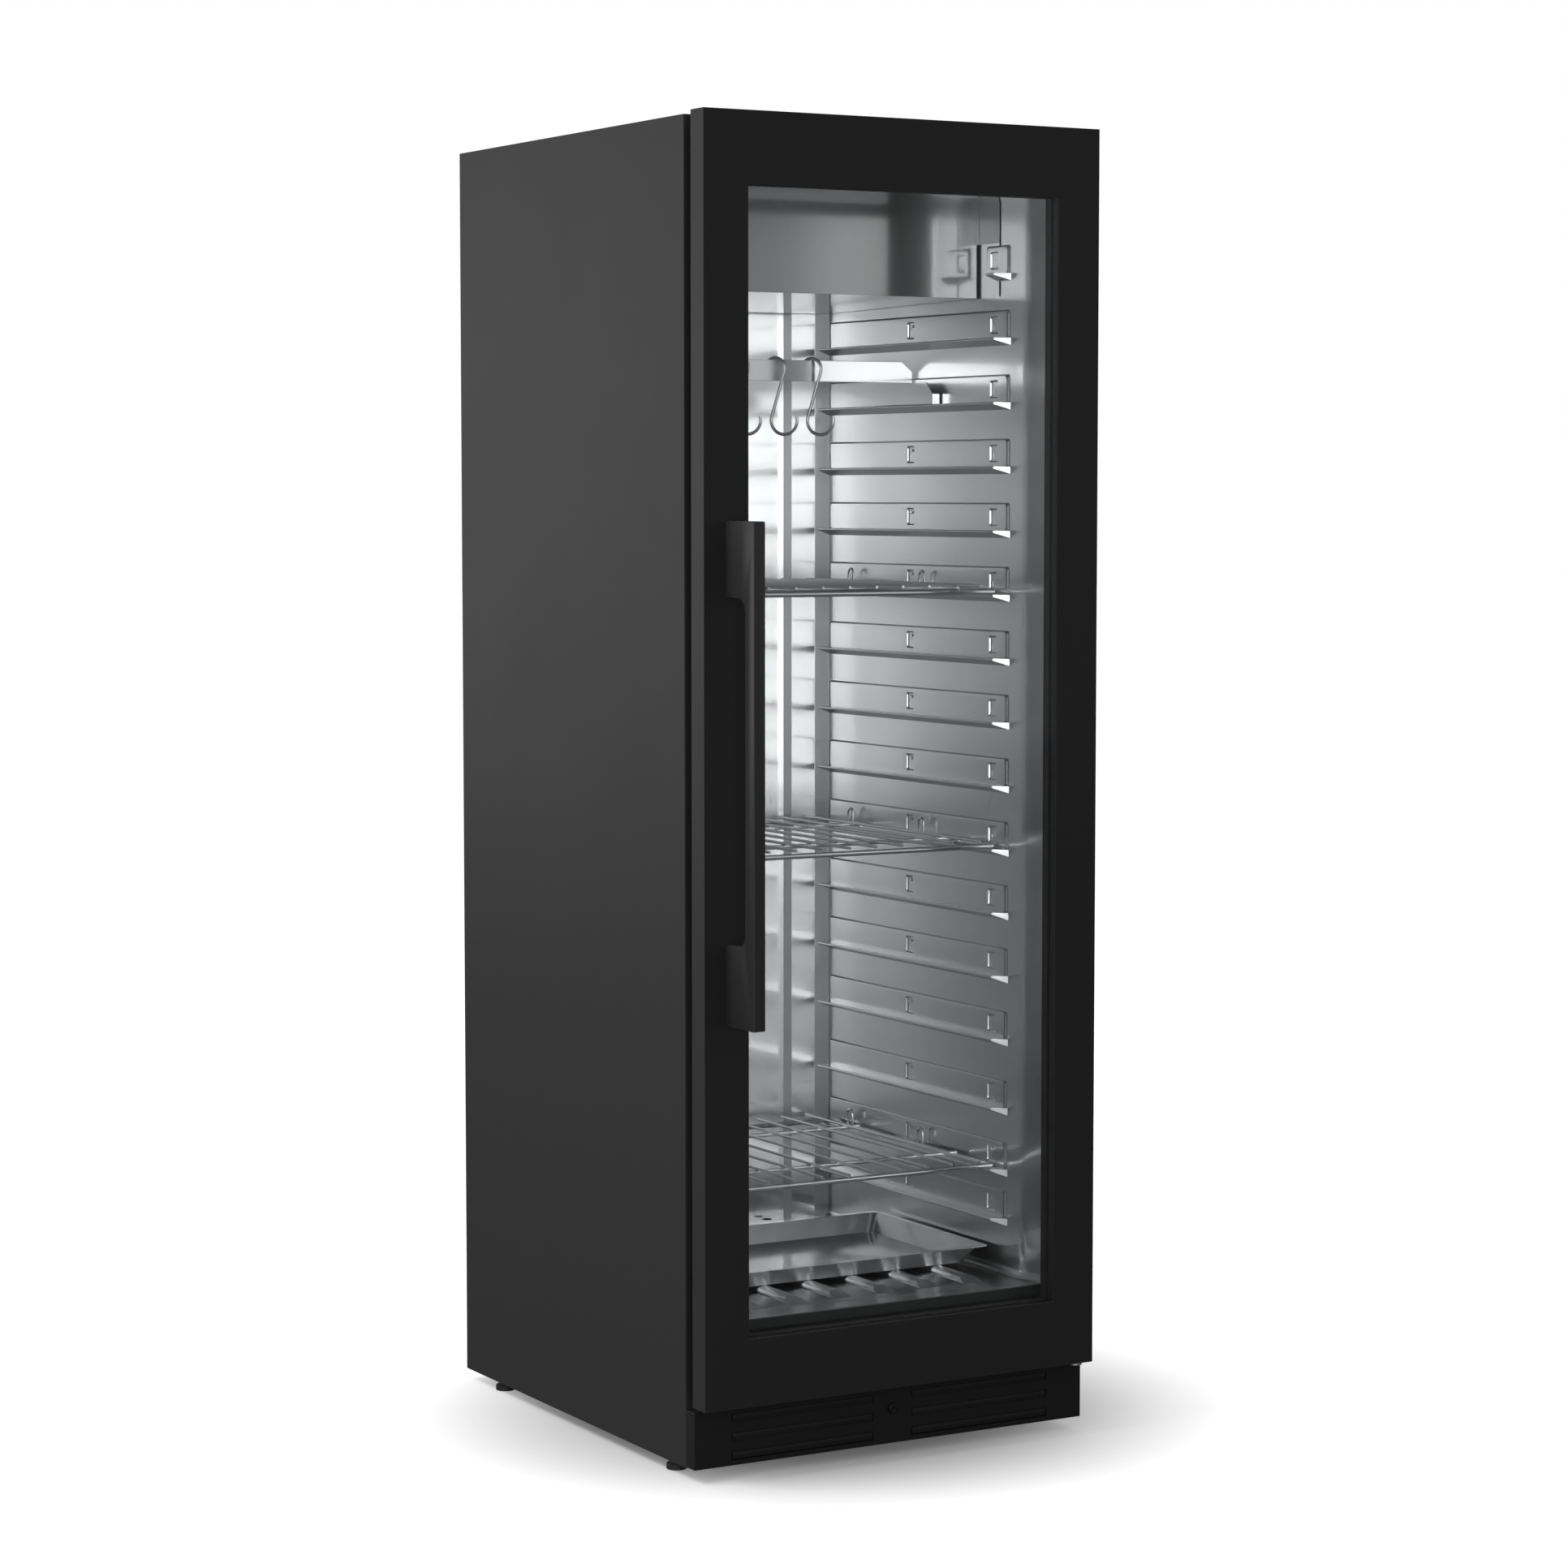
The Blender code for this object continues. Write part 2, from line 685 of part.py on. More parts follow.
def rail_heights():
    """The top of every rail, from the highest down."""
    heights = [RAIL_TOP_Z - RAIL_PITCH * index for index in range(RAIL_EVEN_COUNT)]
    for step in RAIL_LOW_STEPS:
        heights.append(heights[-1] - step)
    return heights


def cavity_back_path():
    """Inner face of the rear wall in plan, from the right corner to the left, wall to the right of travel."""
    right = [
        (WALL_X, at(CORNER_DEPTH)),
        (WALL_X - CORNER_CUT, at(BAND_DEPTH)),
        (BAND_INNER_X, at(BAND_DEPTH)),
        (BAND_INNER_X - RECESS_SLOPE, at(BAND_DEPTH + RECESS)),
    ]
    return right + [(-x, y) for x, y in reversed(right)]


def side_path():
    """Inner face of the right wall in plan, from its flared front edge to the rear corner."""
    return [(FLARE_X, at(CASING_FRONT)), (WALL_X, at(FLARE_DEPTH)), (WALL_X, at(CORNER_DEPTH - GAP))]


def make_casing(cabinet):
    """Outer sheets, base plate, the deck over the machine space and the front frame."""
    depth = (at(CASING_FRONT), at(CASING_BACK))
    height = (GROUND_GAP, TOP_Z)
    right = box("casing_right", (HALF - SHEET, HALF), depth, height)
    left = mirrored("casing_left", right)
    top = box("casing_top", (-INSIDE_X, INSIDE_X), depth, (TOP_Z - SHEET, TOP_Z))
    inner = (at(CASING_FRONT), at(BACK_INSIDE))
    back = box("casing_back", (-INSIDE_X, INSIDE_X), (at(CASING_BACK - SHEET), at(CASING_BACK)),
               (GROUND_GAP, TOP_Z - SHEET - GAP))
    through = (at(BACK_INSIDE - OVERRUN), at(CASING_BACK + OVERRUN))
    vents = []
    for index in range(VENT_COUNT):
        low = VENT_LOW + VENT_PITCH * index
        vents.append(box("vent", VENT_X, through, (low, low + VENT_HIGH)))
    wide, _, high = INLET_BODY
    hole_x = (INLET_X - wide / 2 - GAP, INLET_X + wide / 2 + GAP)
    hole_z = (INLET_Z - high / 2 - GAP, INLET_Z + high / 2 + GAP)
    vents.append(box("inlet_hole", hole_x, through, hole_z))
    back = cut(back, bundle("back_cuts", vents))
    carry(cabinet, "black_casing", left, right, top, back)

    base = box("base_plate", (-INSIDE_X, INSIDE_X), inner, (GROUND_GAP, BASE_TOP))
    feet = [(side * FOOT_X, at(place)) for side in (-1, 1) for place in FOOT_DEPTHS]
    bosses = [cylinder("boss", (x, y, 0), "Z", BOSS_RADIUS, (BASE_TOP - SINK, BASE_TOP + BOSS_HIGH))
              for x, y in feet]
    long, wide, _ = COMPRESSOR_FOOT
    for side_x in (-1, 1):
        for side_y in (-1, 1):
            x = COMPRESSOR_X + side_x * (long / 2 - COMPRESSOR_PAD_INSET)
            y = at(COMPRESSOR_DEPTH) + side_y * (wide / 2 - COMPRESSOR_PAD_INSET)
            top_z = COMPRESSOR_Z[0] - COMPRESSOR_FOOT[2] - GAP
            bosses.append(cylinder("pad", (x, y, 0), "Z", COMPRESSOR_PAD, (BASE_TOP - SINK, top_z)))
    base = join(base, bundle("bosses", bosses))
    bores = [cylinder("bore", (x, y, 0), "Z", STEM_RADIUS + GAP, (0, STEM_HIGH + OVERRUN)) for x, y in feet]
    base = cut(base, bundle("bores", bores))
    deck = box("machine_deck", (-INSIDE_X, INSIDE_X), (at(FRAME_BACK), at(BACK_INSIDE)), (DECK_Z, DECK_TOP))
    deck = cut(deck, drain_cutter())
    deck = cut(deck, suction_cutter())
    carry(cabinet, "zinc_steel", base, deck)

    opening_x = FLARE_X + LINER + GAP
    opening_z = (FLOOR_Z - LINER - GAP, CEILING_Z + LINER + GAP)
    outer = rectangle((-INSIDE_X, INSIDE_X), (KICK_HIGH + GAP, TOP_Z - SHEET - GAP))
    frame = prism("front_frame", [outer, rectangle((-opening_x, opening_x), opening_z)], "Y",
                  (at(CASING_FRONT), at(CASING_FRONT + FRAME_THICK)))
    carry(cabinet, "dark_frame", frame)


def drain_cutter():
    """A round cutter for the drain tube's way through the floor."""
    radius = DRAIN_BORE + DRAIN_WALL + GAP
    reach = (DECK_Z - OVERRUN, FLOOR_Z + OVERRUN)
    return cylinder("drain_way", (DRAIN_X, at(DRAIN_DEPTH), 0), "Z", radius, reach)


def suction_cutter():
    """A round cutter for the suction pipe's way up behind the cavity and into the evaporator space."""
    return tube("suction_way", suction_path(), PIPE + PIPE_CLEAR)


def suction_path():
    """The suction pipe's centre line, from the compressor to the coil's end plate."""
    return bent_path([
        (COMPRESSOR_X + COMPRESSOR_RADIUS + GAP, at(COMPRESSOR_DEPTH), SUCTION_LOW),
        (SUCTION_X, at(COMPRESSOR_DEPTH), SUCTION_LOW),
        (SUCTION_X, at(SUCTION_DEPTH), SUCTION_LOW),
        (SUCTION_X, at(SUCTION_DEPTH), SUCTION_HIGH),
        (SUCTION_X, at(SUCTION_IN), SUCTION_HIGH),
        (COIL_HALF + COIL_PLATE + GAP, at(SUCTION_IN), SUCTION_HIGH),
    ], PIPE_BEND)


def make_insulation(cabinet):
    """Foam slabs between the casing and the liner."""
    deep = (at(FRAME_BACK), at(BACK_INSIDE))
    wide = (-INSIDE_X, INSIDE_X)
    between = (FLOOR_Z - LINER, CEILING_Z + LINER)
    top = box("foam_top", wide, deep, (between[1] + GAP, TOP_Z - SHEET - GAP))
    floor = box("foam_floor", wide, deep, (DECK_TOP + GAP, between[0] - GAP))
    floor = cut(floor, drain_cutter())
    floor = cut(floor, suction_cutter())
    flare = offset_path(side_path(), -(LINER + GAP))
    front = (flare[0][0], at(FRAME_BACK))
    side = [front] + flare[1:] + [(INSIDE_X, flare[-1][1]), (INSIDE_X, at(FRAME_BACK))]
    right = prism("foam_right", [side], "Z", between)
    left = mirrored("foam_left", right)
    wall = offset_path(cavity_back_path(), -(LINER + GAP))
    low_y = at(CORNER_DEPTH)
    end_y = at(BACK_INSIDE)
    corners = [(-INSIDE_X, low_y), (-INSIDE_X, end_y), (INSIDE_X, end_y), (INSIDE_X, low_y)]
    rear = prism("foam_back", [wall + corners], "Z", between)
    rear = cut(rear, suction_cutter())
    carry(cabinet, "foam", top, floor, left, right, rear)


def rail_pads(heights):
    """The raised panels above the rails of the right wall, as one bundle."""
    pads = []
    for index, height in enumerate(heights):
        back = RAIL_BACK if index else TOP_PAD_BACK
        bm = bmesh.new()
        bmesh.ops.create_cube(bm, size=1.0)
        for vert in bm.verts:
            inner = vert.co.x < 0
            top = height + PAD_HEIGHT - (PAD_TOP_SLOPE if inner else 0)
            front = RAIL_FRONT - SINK + (PAD_END_SLOPE if inner else 0)
            vert.co.x = PAD_X if inner else WALL_X + LINER / 2
            vert.co.y = at(front) if vert.co.y < 0 else at(back - SINK)
            vert.co.z = top if vert.co.z > 0 else height - RAIL_LIP / 2
        pads.append(from_bmesh("pad", bm))
    return bundle("pads", pads)


def rail_ledges(heights):
    """The ledges that the shelves rest on, on the right wall, as one bundle."""
    ledges = []
    lip = WALL_X - RAIL_REACH
    root = WALL_X + LINER / 2
    for index, height in enumerate(heights):
        back = RAIL_BACK if index else TOP_LEDGE_BACK
        outline = [
            (root, height),
            (lip + RAIL_NOSE, height),
            (lip, height - RAIL_NOSE),
            (lip, height - RAIL_LIP + RAIL_NOSE),
            (lip + RAIL_NOSE, height - RAIL_LIP),
            (root, height - RAIL_ROOT),
        ]
        ledges.append(prism("ledge", [outline], "Y", (at(RAIL_FRONT), at(back))))
    return bundle("ledges", ledges)


def rail_pockets(heights):
    """The small pressed pockets in the raised panels of the right wall, as one bundle of cutters."""
    pockets = []
    for height in heights:
        for place in POCKET_DEPTHS:
            if height == heights[0] and place > COVER_DEPTH:
                continue
            low = height + POCKET_LIFT
            pockets.append(box("pocket", (PAD_X - OVERRUN, PAD_X + POCKET_DEEP),
                               (at(place - POCKET_LONG / 2), at(place + POCKET_LONG / 2)),
                               (low, low + POCKET_HIGH)))
    return bundle("pockets", pockets)


def make_liner(cabinet):
    """Stainless walls, rear wall, ceiling and ribbed floor of the cavity."""
    between = (FLOOR_Z - LINER, CEILING_Z + LINER)
    path = side_path()
    sheet = path + list(reversed(offset_path(path, -LINER)))
    right = prism("liner_right", [sheet], "Z", between)
    heights = rail_heights()
    right = join(right, rail_pads(heights))
    right = join(right, rail_ledges(heights))
    right = cut(right, rail_pockets(heights))
    left = mirrored("liner_left", right)
    wall = cavity_back_path()
    back = prism("liner_back", [wall + list(reversed(offset_path(wall, -LINER)))], "Z", between)
    back = cut(back, suction_cutter())

    inside = offset_path(side_path(), GAP)
    rear = offset_path(cavity_back_path(), GAP)
    front = [(inside[0][0], at(CASING_FRONT)), inside[1]]
    plan = front + rear + [(-x, y) for x, y in reversed(front)]
    ceiling = prism("liner_ceiling", [plan], "Z", (CEILING_Z, CEILING_Z + LINER))
    drain = circle(DRAIN_X, at(DRAIN_DEPTH), DRAIN_BORE)
    floor = prism("liner_floor", [plan, drain], "Z", (FLOOR_Z - LINER, FLOOR_Z))
    floor = join(floor, floor_ribs())
    carry(cabinet, "stainless", left, right, back, ceiling, floor)


def floor_ribs():
    """Low rounded ribs from front to back with sloping ends, as one bundle."""
    ribs = []
    for index in range(RIB_COUNT):
        middle = (index - (RIB_COUNT - 1) / 2) * RIB_PITCH
        outline = [(middle - RIB_WIDTH / 2, FLOOR_Z - SINK)]
        for step in range(2 * CORNER_STEPS + 1):
            angle = math.pi * (1 - step / (2 * CORNER_STEPS))
            rise = RIB_HEIGHT * math.sin(angle)
            outline.append((middle + RIB_WIDTH / 2 * math.cos(angle), FLOOR_Z + rise))
        outline.append((middle + RIB_WIDTH / 2, FLOOR_Z - SINK))
        rib = prism("rib", [outline], "Y", (at(RIB_FRONT), at(RIB_BACK)))
        for vert in rib.data.vertices:
            way = 1 if vert.co.y < 0 else -1
            vert.co.y += way * RIB_END_SLOPE * (vert.co.z - FLOOR_Z) / RIB_HEIGHT
        ribs.append(rib)
    return bundle("ribs", ribs)


def make_door(door):
    """Steel skin with foam, glazing, inner plate, gasket and the handle."""
    high = (DOOR_LOW, DOOR_TOP)
    window = rectangle((-WINDOW_HALF, WINDOW_HALF), (WINDOW_LOW, WINDOW_HIGH))
    inner_x = HALF - SKIN - GAP
    inner_z = (DOOR_LOW + SKIN + GAP, DOOR_TOP - SKIN - GAP)
    skin = box("door_skin", (-HALF, HALF), (at(0), at(DOOR_THICK)), high)
    hollow = box("hollow", (-HALF + SKIN, HALF - SKIN), (at(SKIN), at(DOOR_THICK + OVERRUN)),
                 (DOOR_LOW + SKIN, DOOR_TOP - SKIN))
    skin = cut(skin, hollow)
    skin = cut(skin, prism("window", [window], "Y", (at(-OVERRUN), at(SKIN + OVERRUN))))
    skin = cut(skin, door_notch())
    skin = cut(skin, bush_seat("lower"))
    carry(door, "black_door", skin)

    glass_x = WINDOW_HALF + GLASS_EDGE
    glass_z = (WINDOW_LOW - GLASS_EDGE, WINDOW_HIGH + GLASS_EDGE)
    outer_face = SKIN + GAP
    spacer_face = outer_face + GLASS + GAP
    inner_face = spacer_face + SPACER_THICK + GAP
    outer = box("glass_outer", (-glass_x, glass_x), (at(outer_face), at(outer_face + GLASS)), glass_z)
    inner = box("glass_inner", (-glass_x, glass_x), (at(inner_face), at(inner_face + GLASS)), glass_z)
    carry(door, "clear_glass", outer, inner)
    spacer_x = WINDOW_HALF + SPACER_EDGE
    spacer_z = (WINDOW_LOW - SPACER_EDGE, WINDOW_HIGH + SPACER_EDGE)
    rim_x = glass_x - SPACER_INSET
    rim_z = (glass_z[0] + SPACER_INSET, glass_z[1] - SPACER_INSET)
    loops = [rectangle((-rim_x, rim_x), rim_z), rectangle((-spacer_x, spacer_x), spacer_z)]
    spacer = prism("glass_spacer", loops, "Y", (at(spacer_face), at(spacer_face + SPACER_THICK)))
    carry(door, "black_plastic", spacer)

    plate_face = DOOR_THICK - INNER_PLATE
    hole_x = glass_x + GAP
    hole_z = (glass_z[0] - GAP, glass_z[1] + GAP)
    outline = rectangle((-inner_x, inner_x), inner_z)
    foam = prism("door_foam", [outline, rectangle((-hole_x, hole_x), hole_z)], "Y",
                 (at(SKIN + GAP), at(plate_face - GAP)))
    plate = prism("door_liner", [outline, window], "Y", (at(plate_face), at(DOOR_THICK)))
    lip_hole = rectangle((-WINDOW_HALF - GAP, WINDOW_HALF + GAP), (WINDOW_LOW - GAP, WINDOW_HIGH + GAP))
    lip = prism("lip", [rectangle((-glass_x, glass_x), glass_z), lip_hole], "Y",
                (at(inner_face + GLASS + GAP), at(plate_face + SINK)))
    plate = join(plate, lip)
    foam = cut(foam, door_notch())
    for side in ("upper", "lower"):
        foam = cut(foam, bush_seat(side))
    plate = cut(plate, door_notch())
    carry(door, "foam", foam)
    carry(door, "black_plastic", plate)

    gasket_inner = GASKET_HALF - GASKET_WIDTH
    gasket = prism("door_gasket", [
        rectangle((-GASKET_HALF, GASKET_HALF), (GASKET_LOW, GASKET_HIGH)),
        rectangle((-gasket_inner, gasket_inner), (GASKET_LOW + GASKET_WIDTH, GASKET_HIGH - GASKET_WIDTH)),
    ], "Y", (at(DOOR_THICK + GAP), at(CASING_FRONT - GAP)))
    carry(door, "black_rubber", gasket)
    make_handle(door)
    for side in ("upper", "lower"):
        carry(door, "white_nylon", hinge_bush(side))


def make_handle(door):
    """The bar handle: two blocks on the door and a flat grip between them, cut from one plate."""
    front = at(-HANDLE_REACH)
    inner = front + HANDLE_GRIP
    door_face = at(-GAP)
    low_top = HANDLE_LOW + HANDLE_BLOCK_LOW
    high_low = HANDLE_HIGH - HANDLE_BLOCK_HIGH
    outline = rounded([
        (front, HANDLE_LOW, HANDLE_OUTER_ROUND),
        (door_face, HANDLE_LOW, 0),
        (door_face, low_top, 0),
        (inner, low_top, HANDLE_INNER_ROUND),
        (inner, high_low, HANDLE_INNER_ROUND),
        (door_face, high_low, 0),
        (door_face, HANDLE_HIGH, 0),
        (front, HANDLE_HIGH, HANDLE_OUTER_ROUND),
    ])
    handle = prism("door_handle", [outline], "X", (HANDLE_X, HANDLE_X + HANDLE_THICK))
    carry(door, "black_handle", soften(handle, HANDLE_EDGE))


def notch_floor():
    """Height of the floor of the notch that the upper hinge arm turns in."""
    return TOP_Z - HINGE_TOP_DROP - HINGE_PLATE - NOTCH_BELOW


def door_notch():
    """Cutter for the notch in the door's top right corner, hidden behind a lip of the front face."""
    return box("notch", (HINGE_X - HINGE_ARM_HALF - NOTCH_CLEAR, HALF + OVERRUN),
               (at(NOTCH_LIP), at(DOOR_THICK + OVERRUN)), (notch_floor(), DOOR_TOP + OVERRUN))


def bush_ends(side):
    """Lower and upper end of a hinge bush."""
    long = HINGE_PIN_LONG - BUSH_SHORT
    if side == "upper":
        return (notch_floor() - GAP - long, notch_floor() - GAP)
    return (DOOR_LOW + GAP, DOOR_LOW + GAP + long)


def bush_seat(side):
    """Cutter for a bush's hole in the door."""
    low, high = bush_ends(side)
    reach = (low - OVERRUN, high + GAP) if side == "lower" else (low - GAP, high + OVERRUN)
    return cylinder("seat", (HINGE_X, at(HINGE_DEPTH), 0), "Z", HINGE_PIN + BUSH_WALL + 2 * GAP, reach)


def hinge_bush(side):
    """A plastic bush in the door that turns on a hinge pin."""
    ends = bush_ends(side)
    bore = HINGE_PIN + GAP
    rings = [circle(HINGE_X, at(HINGE_DEPTH), radius) for radius in (bore + BUSH_WALL, bore)]
    return prism("hinge_bush_" + side, rings, "Z", ends)


def make_hinges(cabinet):
    """Upper and lower bracket on the front frame, each an arm with a pin and a flat leg."""
    leg_depth = (at(CASING_FRONT - GAP - HINGE_PLATE), at(CASING_FRONT - GAP))
    arm_top = TOP_Z - HINGE_TOP_DROP
    spans = {
        "lower": ((HINGE_LOW_Z, HINGE_LOW_Z + HINGE_PLATE), (HINGE_LOW_Z, HINGE_LOW_Z + HINGE_LEG_HIGH)),
        "upper": ((arm_top - HINGE_PLATE, arm_top), (arm_top - HINGE_LEG_HIGH, arm_top)),
    }
    for side, (arm_z, leg_z) in spans.items():
        centre = (HINGE_X, at(HINGE_DEPTH), 0)
        nose = [(HINGE_X - HINGE_ARM_HALF, leg_depth[1])]
        for step in range(2 * CORNER_STEPS + 1):
            angle = math.pi * (1 + step / (2 * CORNER_STEPS))
            nose.append((HINGE_X + HINGE_ARM_HALF * math.cos(angle),
                         at(HINGE_DEPTH) + HINGE_ARM_HALF * math.sin(angle)))
        nose.append((HINGE_X + HINGE_ARM_HALF, leg_depth[1]))
        hinge = prism("hinge_" + side, [nose], "Z", arm_z)
        hinge = join(hinge, box("leg", HINGE_LEG_X, leg_depth, leg_z))
        if side == "lower":
            pin_z = (arm_z[1] - SINK, arm_z[1] + HINGE_PIN_LONG)
        else:
            pin_z = (arm_z[0] - HINGE_PIN_LONG, arm_z[0] + SINK)
        hinge = join(hinge, cylinder("pin", centre, "Z", HINGE_PIN, pin_z))
        carry(cabinet, "zinc_steel", hinge)


def make_kick(cabinet, lock):
    """The slotted kick plate with its folded edges, and the lock in it."""
    depth = (at(KICK_FRONT), at(CASING_FRONT - GAP))
    kick = box("kick_grille", (-HALF, HALF), depth, (KICK_LOW, KICK_HIGH))
    hollow = box("hollow", (-HALF + KICK_WALL, HALF - KICK_WALL),
                 (at(KICK_FRONT + KICK_WALL), at(CASING_FRONT + OVERRUN)),
                 (KICK_LOW + KICK_WALL, KICK_HIGH - KICK_WALL))
    kick = cut(kick, hollow)
    through = (at(KICK_FRONT - OVERRUN), at(KICK_FRONT + KICK_WALL + OVERRUN))
    slots = []
    for index in range(KICK_SLOT_COUNT):
        middle = KICK_SLOT_LOW + KICK_SLOT_PITCH * index
        high = (middle - KICK_SLOT_HIGH / 2, middle + KICK_SLOT_HIGH / 2)
        for side in (-1, 1):
            span = sorted((side * KICK_SLOT_X[0], side * KICK_SLOT_X[1]))
            slots.append(box("slot", span, through, high))
    slots.append(cylinder("lock_hole", (LOCK_X, 0, LOCK_Z), "Y", LOCK_RADIUS + GAP, through, ROUND))
    kick = cut(kick, bundle("slots", slots))
    carry(cabinet, "black_casing", kick)

    face = at(KICK_FRONT - LOCK_PROUD)
    cam_face = at(FRAME_BACK)
    barrel_y = (face, cam_face + CAM_THICK + SINK)
    barrel = cylinder("lock_barrel", (LOCK_X, 0, LOCK_Z), "Y", LOCK_RADIUS, barrel_y, ROUND)
    barrel = soften(barrel, LOCK_DOME)
    cam = box("cam", (LOCK_X - CAM_WIDE / 2, LOCK_X + CAM_WIDE / 2), (cam_face, cam_face + CAM_THICK),
              (LOCK_Z, KICK_HIGH + GAP + CAM_CATCH))
    barrel = join(barrel, cam)
    key_wide, key_deep, key_high = LOCK_KEYWAY
    keyway = box("keyway", (LOCK_X - key_wide / 2, LOCK_X + key_wide / 2), (face - OVERRUN, face + key_deep),
                 (LOCK_Z - key_high / 2, LOCK_Z + key_high / 2))
    carry(lock, "black_plastic", cut(barrel, keyway))


def make_foot(body, name, x, depth):
    """A levelling foot: a broad disc, a collar under the base plate and a stem in the base's boss."""
    profile = [
        (0, STEM_HIGH),
        (STEM_RADIUS, STEM_HIGH),
        (STEM_RADIUS, GROUND_GAP - GAP),
        (FOOT_COLLAR, GROUND_GAP - GAP),
        (FOOT_COLLAR, FOOT_DISC),
        (FOOT_RADIUS - FOOT_CHAMFER, FOOT_DISC),
        (FOOT_RADIUS, FOOT_DISC - FOOT_CHAMFER),
        (FOOT_RADIUS, 0),
        (0, 0),
    ]
    carry(body, "black_plastic", turned(name, profile, (x, at(depth), 0), SMALL_ROUND))


def shelf_mesh():
    """A wire shelf in its own frame, with Z zero on the rails and Y zero at the door's front face."""
    front_z = FRONT_ROD + GAP
    side_z = SIDE_ROD + GAP + SINK
    wire_z = front_z + WIRE_LIFT
    cross_z = wire_z - WIRE - CROSS_ROD + SINK
    wide = (-SHELF_SIDE_X - SINK, SHELF_SIDE_X + SINK)
    across = []
    for depth in (SHELF_FRONT, SHELF_BACK):
        across.append(cylinder("rod", (0, depth, front_z), "X", FRONT_ROD, wide, WIRE_ROUND))
    for depth in (SHELF_FRONT + CROSS_SETBACK, SHELF_BACK - CROSS_SETBACK):
        across.append(cylinder("rod", (0, depth, cross_z), "X", CROSS_ROD, wide, WIRE_ROUND))
    along = []
    for side in (-1, 1):
        along.append(cylinder("side", (side * SHELF_SIDE_X, 0, side_z), "Y", SIDE_ROD,
                              (SHELF_FRONT - SINK, SHELF_BACK + SINK), WIRE_ROUND))
    for index in range(WIRE_COUNT):
        x = (index - (WIRE_COUNT - 1) / 2) * WIRE_PITCH
        along.append(cylinder("wire", (x, 0, wire_z), "Y", WIRE,
                              (SHELF_FRONT - WIRE_OVERHANG, SHELF_BACK + WIRE_OVERHANG), WIRE_ROUND))
    shelf = join(bundle("shelf", across), bundle("wires", along))
    stops = []
    for side in (-1, 1):
        for depth in STOP_DEPTHS:
            x = side * (SHELF_SIDE_X + SINK)
            path = bent_path([(x, depth - STOP_WIDE / 2, side_z), (x, depth - STOP_WIDE / 2, STOP_RISE),
                              (x, depth + STOP_WIDE / 2, STOP_RISE), (x, depth + STOP_WIDE / 2, side_z)],
                             STOP_WIDE / 2 - SINK, 3)
            stops.append(tube("stop", path, STOP_WIRE, 1))
    return join(shelf, bundle("stops", stops))


def make_shelves(bodies):
    """Three equal wire shelves, each on its pair of rails."""
    heights = rail_heights()
    model = shelf_mesh()
    for number, (rail, body) in enumerate(zip(RAILS_ABOVE_SHELF_COUNTS, bodies), start=1):
        shelf = add_object("shelf_%d" % number, model.data.copy())
        shelf.data.transform(Matrix.Translation((0, at(0), heights[rail])))
        carry(body, "polished_steel", shelf)
    bpy.data.objects.remove(model, do_unlink=True)


def make_tray(body):
    """The drip tray: a pressed pan with sloping sides and a flat rim, on the floor ribs."""
    low = RIB_TOP + GAP + TRAY_SHEET
    lip_x = TRAY_HALF - TRAY_RIM
    lip_y = (at(TRAY_FRONT + TRAY_RIM), at(TRAY_BACK - TRAY_RIM))
    middle_y = (lip_y[0] + lip_y[1]) / 2
    bm = bmesh.new()
    bmesh.ops.create_cube(bm, size=1.0)
    for vert in bm.verts:
        inset = TRAY_SLOPE if vert.co.z < 0 else 0
        vert.co.x = math.copysign(lip_x - inset, vert.co.x)
        vert.co.y = lip_y[0] + inset if vert.co.y < 0 else lip_y[1] - inset
        vert.co.z = TRAY_RIM_Z if vert.co.z > 0 else low
    lid = max(bm.faces, key=lambda face: face.calc_center_median().z)
    bmesh.ops.delete(bm, geom=[lid], context="FACES")
    corners = [edge for edge in bm.edges if abs(edge.verts[0].co.z - edge.verts[1].co.z) > TRAY_SHEET]
    bmesh.ops.bevel(bm, geom=corners, offset=TRAY_CORNER, segments=CORNER_STEPS, profile=0.5, affect="EDGES")
    border = [edge for edge in bm.edges if edge.is_boundary]
    new_rim = bmesh.ops.extrude_edge_only(bm, edges=border)["geom"]
    half_y = (lip_y[1] - lip_y[0]) / 2
    for vert in (item for item in new_rim if isinstance(item, bmesh.types.BMVert)):
        vert.co.x *= TRAY_HALF / lip_x
        vert.co.y = middle_y + (vert.co.y - middle_y) * (half_y + TRAY_RIM) / half_y
    tray = from_bmesh("drip_tray", bm)
    shell = tray.modifiers.new("sheet", "SOLIDIFY")
    shell.thickness = TRAY_SHEET
    shell.offset = tray_side(tray)
    shell.use_even_offset = True
    carry(body, "stainless", settle(tray))


def tray_side(tray):
    """The Solidify offset that thickens the pan downward, whichever way its faces point."""
    lowest = min(tray.data.polygons, key=lambda face: face.center.z)
    return -1 if lowest.normal.z > 0 else 1


